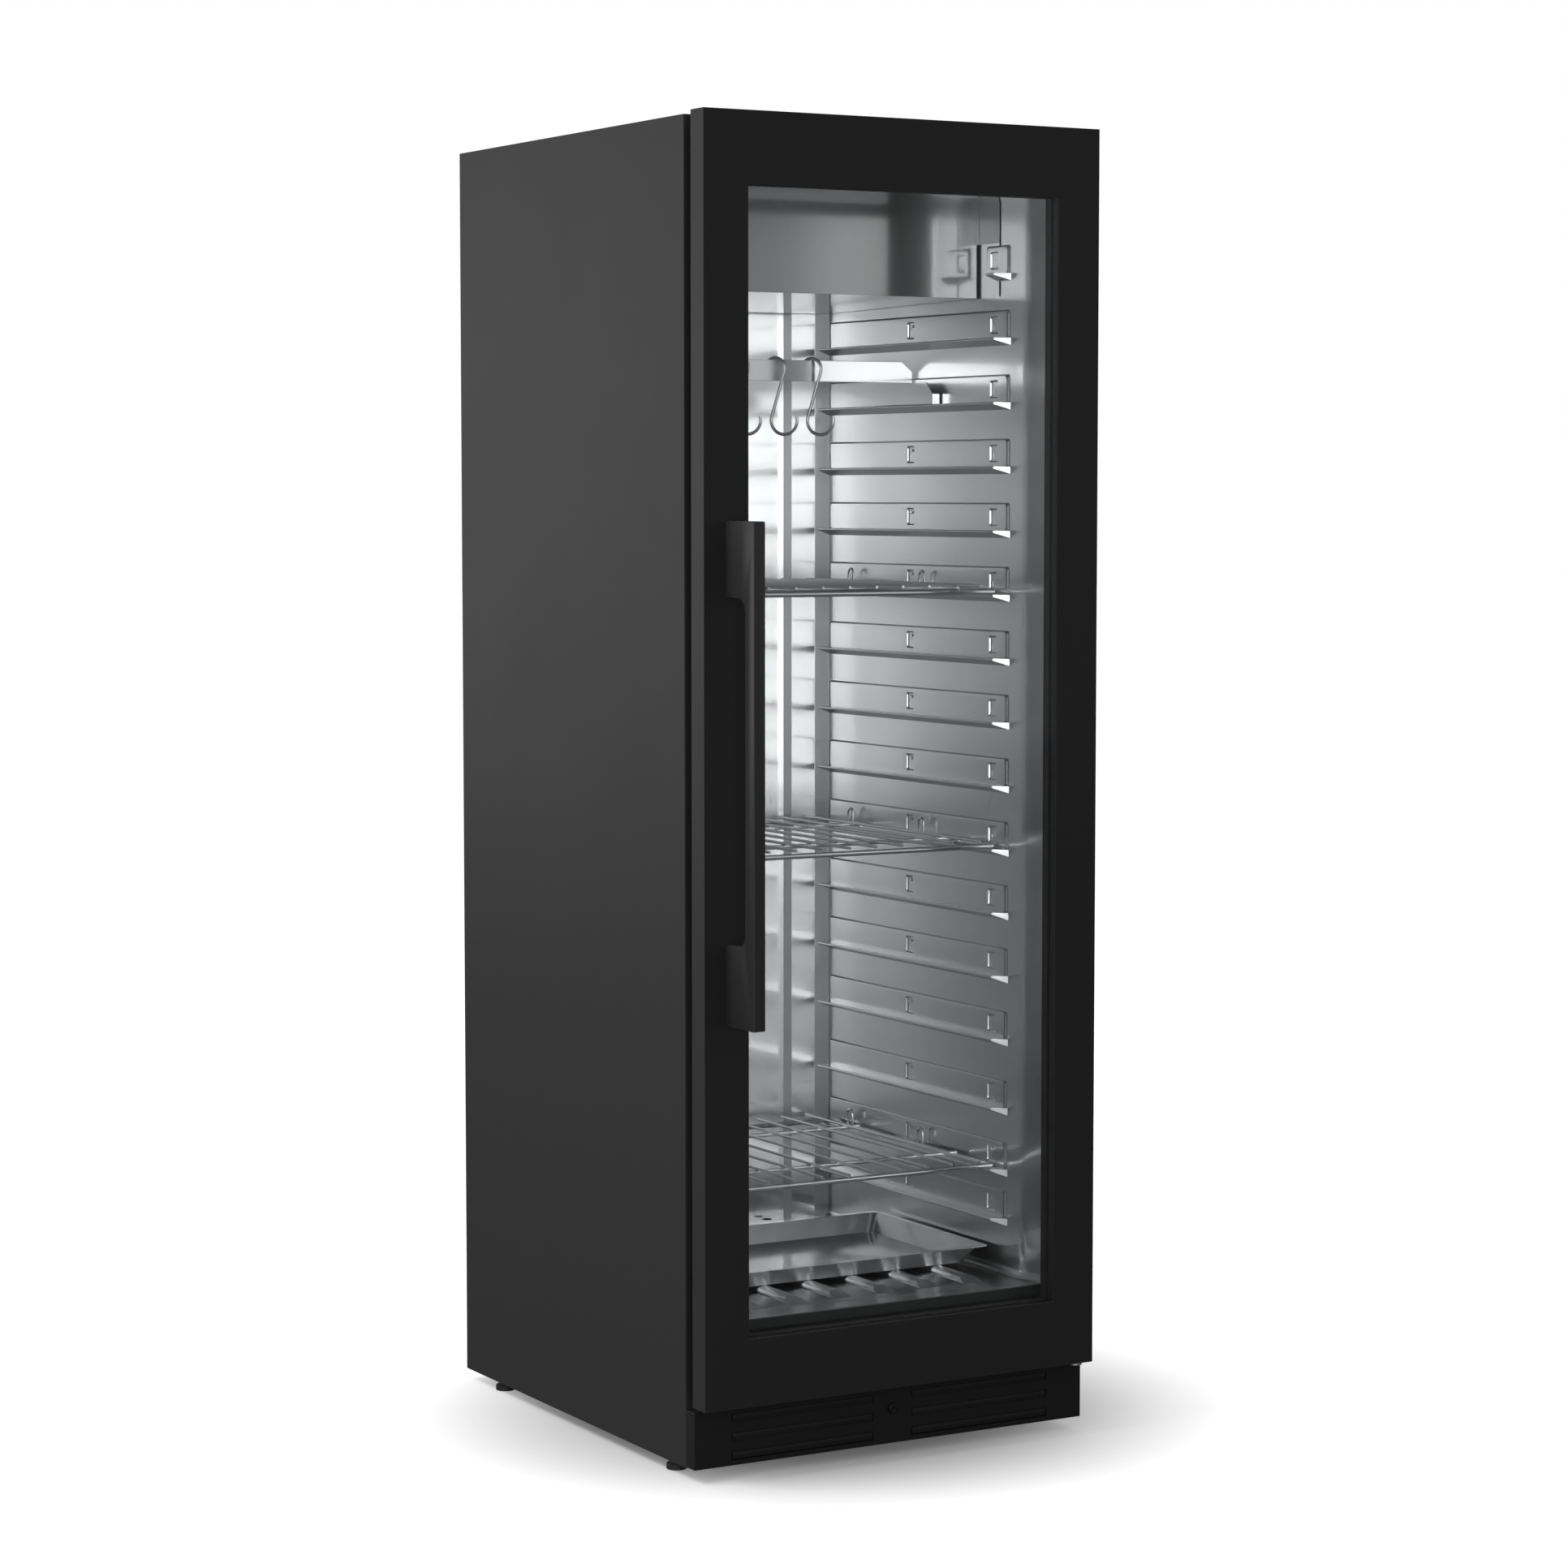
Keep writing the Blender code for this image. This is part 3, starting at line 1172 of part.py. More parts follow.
def make_bar(body):
    """The flat hanging bar on its two folded brackets, which stand on a pair of rails."""
    foot_z = rail_heights()[RAILS_ABOVE_BAR_COUNT] + GAP
    low = foot_z + BRACKET_HIGH + GAP
    high = low + BAR_HIGH
    outline = [
        (-BAR_HALF, low), (BAR_HALF, low), (BAR_HALF, high - BAR_CUT_Z), (BAR_HALF - BAR_CUT_X, high),
        (-BAR_HALF + BAR_CUT_X, high), (-BAR_HALF, high - BAR_CUT_Z),
    ]
    depth = (at(BAR_DEPTH - BAR_THICK / 2), at(BAR_DEPTH + BAR_THICK / 2))
    carry(body, "polished_steel", prism("hanging_bar", [outline], "Y", depth))

    front = at(BAR_DEPTH + BRACKET_SHIFT - BRACKET_LONG / 2)
    back = at(BAR_DEPTH + BRACKET_SHIFT + BRACKET_LONG / 2)
    top = foot_z + BRACKET_HIGH
    shoulder = top - BRACKET_CUT_Z
    side = [(front, foot_z), (back, foot_z), (back, shoulder), (back - BRACKET_CUT_Y, top),
            (front + BRACKET_CUT_Y, top), (front, shoulder)]
    right = prism("bar_bracket_right", [side], "X", (BRACKET_X, BRACKET_X + BRACKET_SHEET))
    returns = []
    reach = (BRACKET_X + SINK, BRACKET_X + BRACKET_RETURN)
    for edge in (front, back - BRACKET_SHEET):
        returns.append(box("return", reach, (edge, edge + BRACKET_SHEET), (foot_z, shoulder)))
    right = join(right, bundle("returns", returns))
    left = mirrored("bar_bracket_left", right)
    carry(body, "polished_steel", left, right)


def bar_top():
    """Height of the hanging bar's upper edge."""
    return rail_heights()[RAILS_ABOVE_BAR_COUNT] + GAP + BRACKET_HIGH + GAP + BAR_HIGH


def hook_x(number):
    """Where a hook hangs along the bar, counted from zero."""
    return HOOK_FIRST_X + HOOK_PITCH * number


def hook_path(x):
    """Centre line of an S hook over the bar: an upper loop, a straight shank and a wider lower loop."""
    top = bar_top() + GAP + HOOK_WIRE
    upper = Vector((0, top - HOOK_UPPER))
    lower = Vector((HOOK_SHIFT, top + 2 * HOOK_WIRE - HOOK_LONG + HOOK_LOWER))
    between = lower - upper
    lean = math.acos((HOOK_UPPER + HOOK_LOWER) / between.length)
    way = math.atan2(between.y, between.x)
    leave = way + lean
    flat = []
    steps = 4 * CORNER_STEPS
    for step in range(steps + 1):
        angle = HOOK_START + (leave - HOOK_START) * step / steps
        flat.append(upper + HOOK_UPPER * Vector((math.cos(angle), math.sin(angle))))
    meet = leave + math.pi
    for step in range(steps + 1):
        angle = meet + (HOOK_END - meet) * step / steps
        flat.append(lower + HOOK_LOWER * Vector((math.cos(angle), math.sin(angle))))
    across = Vector((math.sin(HOOK_TURN), -math.cos(HOOK_TURN), 0))
    return [Vector((x, at(BAR_DEPTH), point.y)) + across * point.x for point in flat]


def make_hooks(bodies):
    """S hooks side by side on the bar."""
    for number, body in enumerate(bodies):
        carry(body, "polished_steel", tube("hook_%d" % (number + 1), hook_path(hook_x(number)), HOOK_WIRE))


def make_fan(cabinet, rotor, where, plate_x, plate_z, centre, radius):
    """A fan: plate with a round hole, motor on three arms behind it, and the rotor in the hole."""
    x, depth, z = centre
    face = (at(depth), at(depth + FAN_PLATE))
    housing = box(where + "_fan_housing", plate_x, face, plate_z)
    through = (face[0] - OVERRUN, face[1] + OVERRUN)
    hole = cylinder("hole", (x, 0, z), "Y", radius + FAN_CLEAR, through, ROUND)
    housing = cut(housing, hole)
    arm_depth = (face[1] - SINK, face[1] + FAN_ARM)
    motor_depth = (face[1] + FAN_ARM / 2, face[1] + FAN_MOTOR_LONG)
    arms = []
    for index in range(3):
        arm = box("arm", (0, radius + FAN_CLEAR + FAN_ARM_OUT), arm_depth, (-FAN_ARM / 2, FAN_ARM / 2))
        turn = Matrix.Rotation(2 * math.pi * index / 3 + math.pi / 2, 4, "Y")
        arm.data.transform(Matrix.Translation((x, 0, z)) @ turn)
        arms.append(arm)
    motor = cylinder("motor", (x, 0, z), "Y", FAN_HUB, motor_depth, ROUND)
    for arm in arms:
        motor = join(motor, arm)
    housing = join(housing, motor)
    carry(cabinet, "zinc_steel", housing)

    hub_back = face[1] - SINK - GAP
    hub = cylinder(where + "_fan", (x, 0, z), "Y", FAN_HUB, (hub_back - FAN_HUB_LONG, hub_back), ROUND)
    blades = []
    root = FAN_BLADE_WIDE * FAN_BLADE_ROOT_SHARE
    outline = [(FAN_HUB - SINK, -root / 2), (radius, -FAN_BLADE_WIDE / 2),
               (radius, FAN_BLADE_WIDE / 2), (FAN_HUB - SINK, root / 2)]
    for index in range(FAN_BLADES):
        blade = prism("blade", [outline], "Y", (-FAN_BLADE_THICK / 2, FAN_BLADE_THICK / 2))
        pitch = Matrix.Rotation(FAN_PITCH, 4, "X")
        spin = Matrix.Rotation(2 * math.pi * index / FAN_BLADES, 4, "Y")
        middle = Matrix.Translation((x, hub_back - FAN_HUB_LONG / 2, z))
        blade.data.transform(middle @ spin @ pitch)
        blades.append(blade)
    carry(rotor, "black_plastic", join(hub, bundle("blades", blades)))


def cover_cheek(side):
    """A flat ear of the cover on one side wall, with a flange behind the cover's front."""
    ear = prism("ear", [rounded([
        (at(CHEEK_FRONT), CHEEK_Z[0], 0),
        (at(COVER_DEPTH + 2 * COVER_SHEET), CHEEK_Z[0], 0),
        (at(COVER_DEPTH + 2 * COVER_SHEET), CHEEK_Z[1], 0),
        (at(CHEEK_FRONT), CHEEK_Z[1], CHEEK_ROUND),
    ])], "X", sorted((side * (WALL_X - GAP - COVER_SHEET), side * (WALL_X - GAP))))
    flange = box("flange", sorted((side * (COVER_HALF - CHEEK_LAP), side * (WALL_X - GAP - SINK))),
                 (at(COVER_DEPTH + COVER_SHEET - SINK), at(COVER_DEPTH + 2 * COVER_SHEET - SINK)), CHEEK_Z)
    return join(ear, flange)


def make_evaporator(cabinet):
    """The folded cover, the finned coil that hangs from the ceiling, and the lamp in front of it."""
    front = at(COVER_DEPTH)
    top = CEILING_Z - GAP
    outline = [
        (front, COVER_LOW),
        (at(COVER_BACK), COVER_LOW - COVER_DROP),
        (at(COVER_BACK), COVER_LOW - COVER_DROP + COVER_SHEET),
        (front + COVER_SHEET, COVER_LOW + COVER_SHEET),
        (front + COVER_SHEET, top),
        (front, top),
    ]
    cover = prism("evaporator_cover", [outline], "X", (-COVER_HALF, COVER_HALF))
    for side in (-1, 1):
        cover = join(cover, cover_cheek(side))
    carry(cabinet, "polished_steel", cover)

    depth = (at(COIL_DEPTHS[0]), at(COIL_DEPTHS[1]))
    coil = box("evaporator", (-COIL_HALF, COIL_HALF), depth, (COIL_LOW, CEILING_Z - COIL_TOP_GAP))
    plate_depth = (depth[0] - COIL_PLATE, depth[1] + COIL_PLATE)
    for side in (-1, 1):
        plate_x = sorted((side * (COIL_HALF - SINK), side * (COIL_HALF + COIL_PLATE)))
        coil = join(coil, box("plate", plate_x, plate_depth, (COIL_LOW - COIL_PLATE, top)))
    carry(cabinet, "aluminium", coil)

    lamp = box("ceiling_light", (-LIGHT_HALF, LIGHT_HALF), (at(LIGHT_DEPTHS[0]), at(LIGHT_DEPTHS[1])),
               (top - LIGHT_HIGH, top))
    carry(cabinet, "lamp", lamp)


def make_machine(cabinet):
    """Compressor, condenser, pans, boxes and pipes in the space under the floor."""
    floor = BASE_TOP + GAP
    depth = (at(CONDENSER_DEPTHS[0]), at(CONDENSER_DEPTHS[1]))
    condenser = box("condenser", CONDENSER_X, depth, CONDENSER_Z)
    plate_depth = (depth[0] - COIL_PLATE, depth[1] + COIL_PLATE)
    plate_z = (floor, CONDENSER_Z[1] + COIL_PLATE)
    for edge in (CONDENSER_X[0] - COIL_PLATE, CONDENSER_X[1] - SINK):
        plate = box("plate", (edge, edge + COIL_PLATE + SINK), plate_depth, plate_z)
        condenser = join(condenser, plate)
    carry(cabinet, "aluminium", condenser)

    low, high = COMPRESSOR_Z
    waist = COMPRESSOR_RADIUS * COMPRESSOR_WAIST_SHARE
    shell = [
        (0, high),
        *[(COMPRESSOR_RADIUS * out, high - COMPRESSOR_RADIUS * down) for out, down in COMPRESSOR_DOME_SHARES],
        (COMPRESSOR_RADIUS, low + waist),
        (COMPRESSOR_RADIUS - waist, low - SINK),
        (0, low - SINK),
    ]
    place = (COMPRESSOR_X, at(COMPRESSOR_DEPTH), 0)
    compressor = turned("compressor", shell, place)
    long, wide, thick = COMPRESSOR_FOOT
    foot = box("foot", (COMPRESSOR_X - long / 2, COMPRESSOR_X + long / 2),
               (place[1] - wide / 2, place[1] + wide / 2), (low - thick, low))
    carry(cabinet, "black_casing", join(compressor, foot))

    pan = box("condensate_pan", PAN_X, (at(PAN_DEPTHS[0]), at(PAN_DEPTHS[1])), (floor, floor + PAN_HIGH))
    inside = box("inside", (PAN_X[0] + PAN_WALL, PAN_X[1] - PAN_WALL),
                 (at(PAN_DEPTHS[0] + PAN_WALL), at(PAN_DEPTHS[1] - PAN_WALL)),
                 (floor + PAN_WALL, floor + PAN_HIGH + OVERRUN))
    carry(cabinet, "black_plastic", cut(pan, inside))
    drain_z = (DRAIN_LOW_Z, FLOOR_Z - LINER - GAP)
    rings = [circle(DRAIN_X, at(DRAIN_DEPTH), radius) for radius in (DRAIN_BORE + DRAIN_WALL, DRAIN_BORE)]
    carry(cabinet, "black_plastic", prism("drain_tube", rings, "Z", drain_z))
    control = box("control_box", BOX_X, (at(BOX_DEPTHS[0]), at(BOX_DEPTHS[1])), (floor, floor + BOX_HIGH))
    carry(cabinet, "black_plastic", soften(control, BOX_EDGE, 1))
    make_inlet(cabinet)

    carry(cabinet, "copper", tube("suction_pipe", suction_path(), PIPE))
    discharge = bent_path([
        (COMPRESSOR_X, at(COMPRESSOR_DEPTH - COMPRESSOR_RADIUS - GAP), DISCHARGE_Z),
        (COMPRESSOR_X, at(DISCHARGE_DEPTH), DISCHARGE_Z),
        (DISCHARGE_X, at(DISCHARGE_DEPTH), DISCHARGE_Z),
        (DISCHARGE_X, at(DISCHARGE_END), DISCHARGE_Z),
        (CONDENSER_X[1] + COIL_PLATE + GAP, at(DISCHARGE_END), DISCHARGE_Z),
    ], PIPE_BEND)
    carry(cabinet, "copper", tube("discharge_pipe", discharge, PIPE))


def make_inlet(cabinet):
    """The power inlet in the rear sheet: a body with a flange inside, an open socket and three flat pins."""
    wide, deep, high = INLET_BODY
    back = at(CASING_BACK)
    body = box("power_inlet", (INLET_X - wide / 2, INLET_X + wide / 2), (back - deep, back),
               (INLET_Z - high / 2, INLET_Z + high / 2))
    flange_wide, flange_thick, flange_high = INLET_FLANGE
    flange_y = (at(BACK_INSIDE) - flange_thick, at(BACK_INSIDE))
    flange = box("flange", (INLET_X - flange_wide / 2, INLET_X + flange_wide / 2), flange_y,
                 (INLET_Z - flange_high / 2, INLET_Z + flange_high / 2))
    body = join(body, flange)
    socket_wide, socket_deep, socket_high = INLET_SOCKET
    socket = box("socket", (INLET_X - socket_wide / 2, INLET_X + socket_wide / 2),
                 (back - socket_deep, back + OVERRUN), (INLET_Z - socket_high / 2, INLET_Z + socket_high / 2))
    body = cut(body, socket)
    pin_wide, pin_long, pin_high = INLET_PIN
    pins = []
    for index in (-1, 0, 1):
        x = INLET_X + index * INLET_PIN_PITCH
        z = INLET_Z - INLET_PIN_DROP
        pins.append(box("pin", (x - pin_wide / 2, x + pin_wide / 2),
                        (back - socket_deep - SINK, back - socket_deep + pin_long),
                        (z - pin_high / 2, z + pin_high / 2)))
    carry(cabinet, "black_plastic", join(body, bundle("pins", pins)))


def make_cabinet():
    """Every body's empty, then every piece."""
    cabinet = add_body("cabinet", (0, 0, 0))
    door = add_body("door", (HINGE_X, at(HINGE_DEPTH), 0), cabinet)
    lock = add_body("lock", (LOCK_X, at(KICK_FRONT), LOCK_Z), cabinet)
    heights = rail_heights()
    shelves = [add_body("shelf_body_%d" % number, (0, at(SHELF_FRONT), heights[rail]), cabinet)
               for number, rail in enumerate(RAILS_ABOVE_SHELF_COUNTS, start=1)]
    tray = add_body("tray_body", (0, at(TRAY_FRONT), RIB_TOP), cabinet)
    bar = add_body("bar_body", (0, at(BAR_DEPTH), bar_top()), cabinet)
    hooks = [add_body("hook_body_%d" % (number + 1), (hook_x(number), at(BAR_DEPTH), bar_top()), bar)
             for number in range(HOOK_COUNT)]
    upper_z = (COVER_LOW + COVER_SHEET + GAP, CEILING_Z - GAP)
    upper = (0, UPPER_FAN_DEPTH, (upper_z[0] + upper_z[1]) / 2)
    lower_z = (BASE_TOP + GAP, DECK_Z - GAP)
    lower = ((LOWER_FAN_X[0] + LOWER_FAN_X[1]) / 2, LOWER_FAN_DEPTH, (lower_z[0] + lower_z[1]) / 2)
    upper_rotor = add_body("evaporator_fan_body", (upper[0], at(upper[1]), upper[2]), cabinet)
    lower_rotor = add_body("condenser_fan_body", (lower[0], at(lower[1]), lower[2]), cabinet)

    make_casing(cabinet)
    make_insulation(cabinet)
    make_liner(cabinet)
    make_evaporator(cabinet)
    upper_x = (-UPPER_FAN_HALF, UPPER_FAN_HALF)
    make_fan(cabinet, upper_rotor, "evaporator", upper_x, upper_z, upper, UPPER_FAN_RADIUS)
    make_hinges(cabinet)
    make_kick(cabinet, lock)
    make_machine(cabinet)
    make_fan(cabinet, lower_rotor, "condenser", LOWER_FAN_X, lower_z, lower, LOWER_FAN_RADIUS)
    make_door(door)
    make_shelves(shelves)
    make_tray(tray)
    make_bar(bar)
    make_hooks(hooks)
    for side, across in ((-1, "left"), (1, "right")):
        for place, along in zip(FOOT_DEPTHS, ("front", "rear")):
            name = "foot_%s_%s" % (along, across)
            body = add_body(name + "_body", (side * FOOT_X, at(place), 0), cabinet)
            make_foot(body, name, side * FOOT_X, place)


clear_scene()
PARTS = bpy.data.collections.new("dry_aging_cabinet")
bpy.context.scene.collection.children.link(PARTS)
make_cabinet()
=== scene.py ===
# %% [markdown]
# # Dressing a dry aging cabinet
# The real cabinet is a tall black box with a glazed door. Behind the glass are stainless walls with
# pressed rails, wire shelves, a hanging bar with hooks and a drip tray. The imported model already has
# every piece at its true size, so this lesson only adds looks: light, finishes, softened edges and small
# fittings. Everything is in metres, +Z is up, and the door faces -Y.

import json
import math

import bmesh
import bpy
from mathutils import Matrix, Vector


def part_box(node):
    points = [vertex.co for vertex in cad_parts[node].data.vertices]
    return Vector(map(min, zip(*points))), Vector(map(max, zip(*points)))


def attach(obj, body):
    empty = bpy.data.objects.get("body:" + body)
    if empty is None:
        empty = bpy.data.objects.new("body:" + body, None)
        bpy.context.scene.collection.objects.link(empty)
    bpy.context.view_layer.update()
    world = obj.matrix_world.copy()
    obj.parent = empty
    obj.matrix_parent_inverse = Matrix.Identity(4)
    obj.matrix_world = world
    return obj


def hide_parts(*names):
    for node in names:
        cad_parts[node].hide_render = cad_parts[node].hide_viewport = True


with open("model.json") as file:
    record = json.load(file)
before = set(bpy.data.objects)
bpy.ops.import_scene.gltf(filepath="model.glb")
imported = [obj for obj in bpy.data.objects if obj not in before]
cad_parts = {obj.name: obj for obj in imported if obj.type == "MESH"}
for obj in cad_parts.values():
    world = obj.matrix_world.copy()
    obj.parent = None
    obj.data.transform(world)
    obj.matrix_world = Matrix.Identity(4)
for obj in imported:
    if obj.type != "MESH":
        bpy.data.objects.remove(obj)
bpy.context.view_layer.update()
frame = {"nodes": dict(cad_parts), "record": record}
nodes = frame["nodes"]
body_of = {node: body for body, group in frame["record"]["behaviour"]["bodies"].items() for node in group}
slot_of = {entry["node"]: entry["material_slot"] for entry in frame["record"]["subparts"]}

# %% [markdown]
# ## The picture's camera
# A long lens, a little above the middle of the cabinet and to its left, keeps the upright edges nearly
# parallel. The place and turn come from matching the model's straight edges with those in the photograph.

# %% Place the camera
LENS_MM = 88.883
SENSOR_MM = 36.0
CAMERA_PLACE = (-2.62229, -4.57955, 1.26724)
CAMERA_DEGREES = (85.7024, 0.0, -29.8034)
scene = bpy.context.scene


def placed(name, data):
    """A new object in the scene that carries this data."""
    made = bpy.data.objects.new(name, data)
    scene.collection.objects.link(made)
    return made


camera_data = bpy.data.cameras.new("portrait_lens")
camera_data.lens = LENS_MM
camera_data.sensor_width = SENSOR_MM
camera = placed("portrait_camera", camera_data)
camera.location = CAMERA_PLACE
camera.rotation_euler = [math.radians(degrees) for degrees in CAMERA_DEGREES]
scene.camera = camera
print("camera", [round(value, 3) for value in camera.location])

# %% [markdown]
# ## Small helpers for node trees
# World, floor and finishes are trees of nodes. Most of these functions add a node and give back its
# output, so a pattern can be written as a few nested calls. The last one starts a material.

# %% Write the node helpers
WHITE = (1.0, 1.0, 1.0, 1.0)


def feed(tree, value, socket):
    """Links a socket to another, or sets it to a number or a colour."""
    if isinstance(value, bpy.types.NodeSocket):
        tree.links.new(value, socket)
    else:
        socket.default_value = value


def math_node(tree, operation, first, second):
    """A math node fed by sockets or numbers."""
    node = tree.nodes.new("ShaderNodeMath")
    node.operation = operation
    feed(tree, first, node.inputs[0])
    feed(tree, second, node.inputs[1])
    return node.outputs[0]


def ramp(tree, value, start, end, low=0.0, high=1.0, kind="LINEAR"):
    """Takes a value that runs from start to end and lets it run from low to high."""
    node = tree.nodes.new("ShaderNodeMapRange")
    node.interpolation_type = kind
    for label, number in (("From Min", start), ("From Max", end), ("To Min", low), ("To Max", high)):
        node.inputs[label].default_value = number
    tree.links.new(value, node.inputs["Value"])
    return node.outputs["Result"]


def seen_directly(tree):
    """One for a ray that comes from the camera, itself or through glass, and zero for any other."""
    path = tree.nodes.new("ShaderNodeLightPath")
    return math_node(tree, "MAXIMUM", path.outputs["Is Camera Ray"], path.outputs["Is Transmission Ray"])


def own_place(tree):
    """The place on a piece, measured along the piece's own axes."""
    return tree.nodes.new("ShaderNodeTexCoord").outputs["Object"]


def new_material(name, values):
    """A material with plain values on its Principled shader. Gives back its tree and shader too."""
    made = bpy.data.materials.new(name)
    made.use_nodes = True
    shader = made.node_tree.nodes["Principled BSDF"]
    for label, value in values.items():
        shader.inputs[label].default_value = value
    return made, made.node_tree, shader


print("node helpers ready")

# %% [markdown]
# ## A white studio
# The photograph has a white background with a soft shadow on the floor. The world gives even light at a
# plain level. Rays that come from the camera, itself or through glass, see a pure white instead, so the
# background stays white without more light on the cabinet.

# %% Light the world
WORLD_LEVEL = 0.35
BACKGROUND_LEVEL = 1.0
scene.view_settings.view_transform = "Standard"
world = bpy.data.worlds.new("studio")
scene.world = world
world.use_nodes = True
tree = world.node_tree
tree.nodes.clear()
sky = tree.nodes.new("ShaderNodeBackground")
sky.inputs["Color"].default_value = WHITE
level = ramp(tree, seen_directly(tree), 0.0, 1.0, WORLD_LEVEL, BACKGROUND_LEVEL)
tree.links.new(level, sky.inputs["Strength"])
out = tree.nodes.new("ShaderNodeOutputWorld")
tree.links.new(sky.outputs[0], out.inputs["Surface"])
print("world level", WORLD_LEVEL)

# %% [markdown]
# ## Soft boxes
# Steel and satin paint show what stands around them. One box from the upper left lights the casing's
# side. The flat panels are there to be mirrored: each stands where the camera's line of sight leaves a
# face of the door, the cover or a wall, so that face has a calm tone. They are weak, and so large that
# they have no visible edge.

# %% Add the soft boxes
# Each row has the place, the point that the box looks at, its width and height, and its watts
SOFT_BOXES = {
    "left_box": ((-2.4, 0.2, 3.0), (0.0, 0.0, 1.6), (2.0, 1.4), 66),
    "left_panel": ((-3.1, -1.95, 1.1), (0.0, 0.0, 0.9), (0.7, 1.9), 17),
    "near_panel": ((-2.55, -6.8, 1.1), (0.1, 0.0, 1.0), (1.9, 2.3), 50),
    "far_left_panel": ((-4.30, -5.95, 1.1), (0.1, 0.0, 1.0), (1.5, 2.3), 24),
    "right_panel": ((2.62, -3.35, 1.6), (0.0, 0.0, 1.3), (1.3, 1.8), 6),
    "rear_left_panel": ((-1.75, 2.9, 1.25), (-0.3, 0.0, 1.1), (1.6, 1.4), 15),
}
for name, (place, aim, size, watts) in SOFT_BOXES.items():
    data = bpy.data.lights.new(name, "AREA")
    data.shape = "RECTANGLE"
    data.size, data.size_y = size
    data.energy = watts
    lamp = placed(name, data)
    lamp.location = place
    lamp.rotation_euler = (Vector(aim) - Vector(place)).to_track_quat("-Z", "Y").to_euler()
print("soft boxes:", len(SOFT_BOXES))

# %% [markdown]
# ## The floor
# A plain pale sheet catches the shadow. For rays that come from the camera, itself or through glass, it
# adds a little light of its own, which lifts the open floor to white. That glow is weak close to the
# cabinet and grows with distance, so it paints shade round the base on top of the real shadow. Other rays
# meet a darker paper, so that less light comes back on the lower part of the casing.

# %% Lay the floor
PAPER = 0.72
PAPER_BOUNCE = 0.22
NEAR_GLOW_PAINTED_SHADE = 0.08
FAR_GLOW = 0.90
GLOW_START = 0.22
GLOW_END = 0.75
FLOOR_HALF = 40.0


def stage_material():
    """Pale matte paper with a self-glow that only the camera sees, itself or through glass, kept weak near the
    cabinet as painted shade.
    """
    made, tree, shader = new_material("studio_paper", {"Roughness": 0.9, "Specular IOR Level": 0.1,
                                                       "Emission Color": WHITE})
    direct = seen_directly(tree)
    tree.links.new(ramp(tree, direct, 0.0, 1.0, PAPER_BOUNCE, PAPER), shader.inputs["Base Color"])
    away = tree.nodes.new("ShaderNodeVectorMath")
    away.operation = "LENGTH"
    tree.links.new(own_place(tree), away.inputs[0])
    # Weak glow near the cabinet and full glow further out: painted shade round the base.
    glow_with_painted_shade = ramp(tree, away.outputs["Value"], GLOW_START, GLOW_END, NEAR_GLOW_PAINTED_SHADE, FAR_GLOW, "SMOOTHSTEP")
    tree.links.new(math_node(tree, "MULTIPLY", direct, glow_with_painted_shade), shader.inputs["Emission Strength"])
    return made


corners = [(x * FLOOR_HALF, y * FLOOR_HALF, 0) for x, y in ((-1, -1), (1, -1), (1, 1), (-1, 1))]
floor_mesh = bpy.data.meshes.new("studio_floor")
floor_mesh.from_pydata(corners, [], [(0, 1, 2, 3)])
floor_mesh.materials.append(stage_material())
floor = placed("studio_floor", floor_mesh)
print("floor laid")

# %% [markdown]
# ## Effects that several finishes share
# Coated sheet has a fine orange-peel grain, brushed steel has long streaks, and anything in a kitchen
# carries faint smears, a little dust and rubbed edges. Each of these is one node group that only gives
# out masks and heights, so each finish can set its own amounts.

# %% Write the group helpers
FLOAT, VECTOR = "NodeSocketFloat", "NodeSocketVector"
PLACE = ("Place", VECTOR, (0, 0, 0))


def group_tree(name, inputs, outputs):
    """A shader node group with float or vector inputs and float outputs."""
    tree = bpy.data.node_groups.new(name, "ShaderNodeTree")
    for label, kind, value in inputs:
        made = tree.interface.new_socket(label, in_out="INPUT", socket_type=kind)
        made.default_value = value
    for label in outputs:
        tree.interface.new_socket(label, in_out="OUTPUT", socket_type=FLOAT)
    return tree, tree.nodes.new("NodeGroupInput"), tree.nodes.new("NodeGroupOutput")


def noise(tree, vector, scale, detail=3.0, roughness=0.5):
    """A noise pattern, its scale a number or a socket."""
    node = tree.nodes.new("ShaderNodeTexNoise")
    node.inputs["Detail"].default_value = detail
    node.inputs["Roughness"].default_value = roughness
    feed(tree, vector, node.inputs["Vector"])
    feed(tree, scale, node.inputs["Scale"])
    return node.outputs["Fac"]


def blended(tree, first, second, share):
    """The sum of two values, of which the first has this share."""
    return math_node(tree, "ADD", math_node(tree, "MULTIPLY", first, share),
                     math_node(tree, "MULTIPLY", second, 1 - share))


print("group helpers ready")

# %% [markdown]
# ### Grain
# Grain is a fine noise on a coarser one. Stretching the place before the noise reads it turns grains into
# streaks: a small number along one axis makes them long that way, as a brushing belt does.

